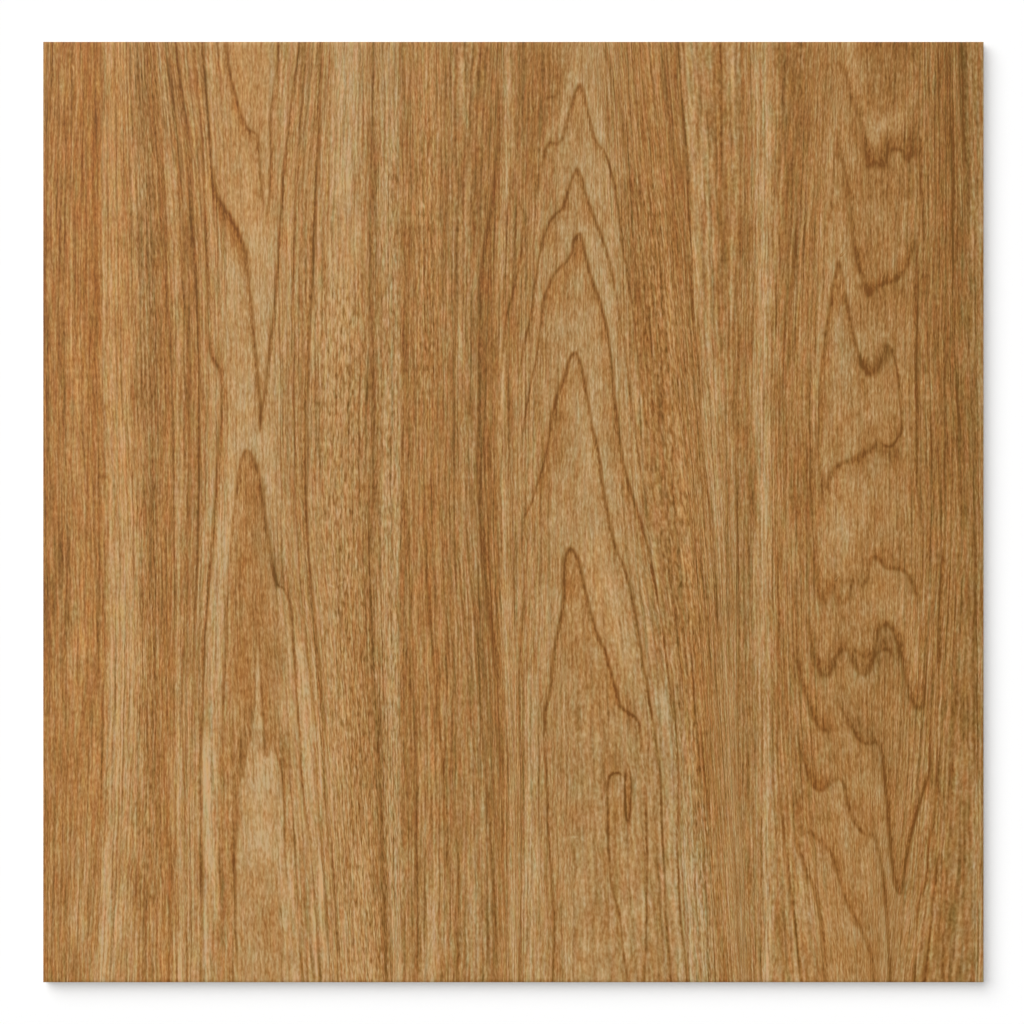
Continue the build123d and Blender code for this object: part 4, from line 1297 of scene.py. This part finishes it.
# The tile.  The slab's skin as one closed mesh, with the glaze on its face and bevel and bare porcelain
# everywhere else, and the print laid out on its points.  It stands for the solid of the same name.
tile_mesh = bpy.data.meshes.new("wood_look_tile")
tile_mesh.from_pydata(skin_points.tolist(), [], skin_faces)
face_order = np.arange(len(skin_faces))
tile_mesh.polygons.foreach_set("material_index", (face_order >= glazed_count).astype(np.int32))
tile_mesh.polygons.foreach_set("use_smooth", face_order < smooth_count)
laid_out = {
    "print": np.column_stack([tone, warmth, pores]),
    "fibres": np.column_stack([across, print_places[:, 1], short_grain]),
}
for index, layer in enumerate(grain_layers):
    laid_out[f"grain_{index}"] = layer
for name, vectors in laid_out.items():
    attribute = tile_mesh.attributes.new(name, "FLOAT_VECTOR", "POINT")
    attribute.data.foreach_set("vector", vectors.astype(np.float32).ravel())
tile_mesh.materials.append(glaze)
tile_mesh.materials.append(body)
tile_mesh.update()
tile = bpy.data.objects.new("wood_look_tile", tile_mesh)
bpy.context.scene.collection.objects.link(tile)
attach(tile, "root")
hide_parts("tile")


# The floor.  A wide white sheet under the tile; seen by the camera it is lifted towards white, so that it
# reads as the plain white ground of a catalogue picture and still keeps the tile's soft shadow.
FLOOR_HALF = 30.0
FLOOR_WHITE = linear(255, 255, 255)
FLOOR_GLOW = 0.21
floor_mesh = bpy.data.meshes.new("floor")
floor_corners = np.array([[-1, -1, 0], [1, -1, 0], [1, 1, 0], [-1, 1, 0]]) * FLOOR_HALF
floor_mesh.from_pydata(floor_corners.tolist(), [], [[0, 1, 2, 3]])
paper = bpy.data.materials.new("white_floor")
paper.use_nodes = True
paper_tree = paper.node_tree
paper_tree.nodes.clear()
sheet = Shade(paper_tree)


def seen_as_background(shade):
    """1 for the rays that show a background: the camera's, reflected and refracted ones."""
    ray = shade.make("ShaderNodeLightPath", {}, {}, "Is Camera Ray")
    return (ray + ray.beside("Is Glossy Ray") + ray.beside("Is Transmission Ray")).clamped()


white_paper = sheet.make("ShaderNodeBsdfDiffuse", {}, {"Color": (*FLOOR_WHITE, 1)})
glow = sheet.make("ShaderNodeEmission", {}, {"Strength": 1.0})
lift = seen_as_background(sheet) * FLOOR_GLOW
lifted = sheet.make("ShaderNodeMixShader", {}, {0: lift, 1: white_paper, 2: glow})
sheet.make("ShaderNodeOutputMaterial", {}, {"Surface": lifted}, None)
floor_mesh.materials.append(paper)
floor = bpy.data.objects.new("floor", floor_mesh)
bpy.context.scene.collection.objects.link(floor)


# The light and the camera.  One broad lamp high on the upper left and a faint even surround, together at
# the level where a colour shows as it is written; the camera looks straight down on the face.
KEY_SHARE = 0.70
SKY_SHARE = 0.32
KEY_LEAN = 0.62
KEY_SPREAD = math.radians(58)
LENS = 120.0
SENSOR = 36.0
CLIP_END = 200.0
PICTURE = 1024
PICTURE_CENTRE = np.array([PICTURE, PICTURE]) / 2
to_key = np.array([-KEY_LEAN, KEY_LEAN, 1.0])
key_slope = 1 / np.linalg.norm(to_key)
key_light = bpy.data.lights.new("key", "SUN")
key_light.energy = KEY_SHARE * math.pi / key_slope * 2 / (1 + math.cos(KEY_SPREAD / 2))
key_light.angle = KEY_SPREAD
key = bpy.data.objects.new("key", key_light)
key.rotation_euler = (0, math.acos(key_slope), math.atan2(to_key[1], to_key[0]))
bpy.context.scene.collection.objects.link(key)

world = bpy.data.worlds.new("surround")
bpy.context.scene.world = world
world.use_nodes = True
world.node_tree.nodes.clear()
sky = Shade(world.node_tree)
sky_light = SKY_SHARE + seen_as_background(sky) * (1 - SKY_SHARE)
sky_shader = sky.make("ShaderNodeBackground", {}, {"Strength": sky_light})
sky.make("ShaderNodeOutputWorld", {}, {"Surface": sky_shader}, None)

camera_data = bpy.data.cameras.new("camera")
camera_data.lens = LENS
camera_data.sensor_width = SENSOR
camera_data.clip_end = CLIP_END
camera = bpy.data.objects.new("camera", camera_data)
aim = (PICTURE_CENTRE - PRINT_CENTRE) * np.array([1, -1]) * PRINT_PITCH
camera.location = (*aim, THICKNESS + PICTURE * PRINT_PITCH * LENS / SENSOR)
bpy.context.scene.collection.objects.link(camera)
bpy.context.scene.camera = camera
bpy.context.scene.view_settings.view_transform = "Standard"
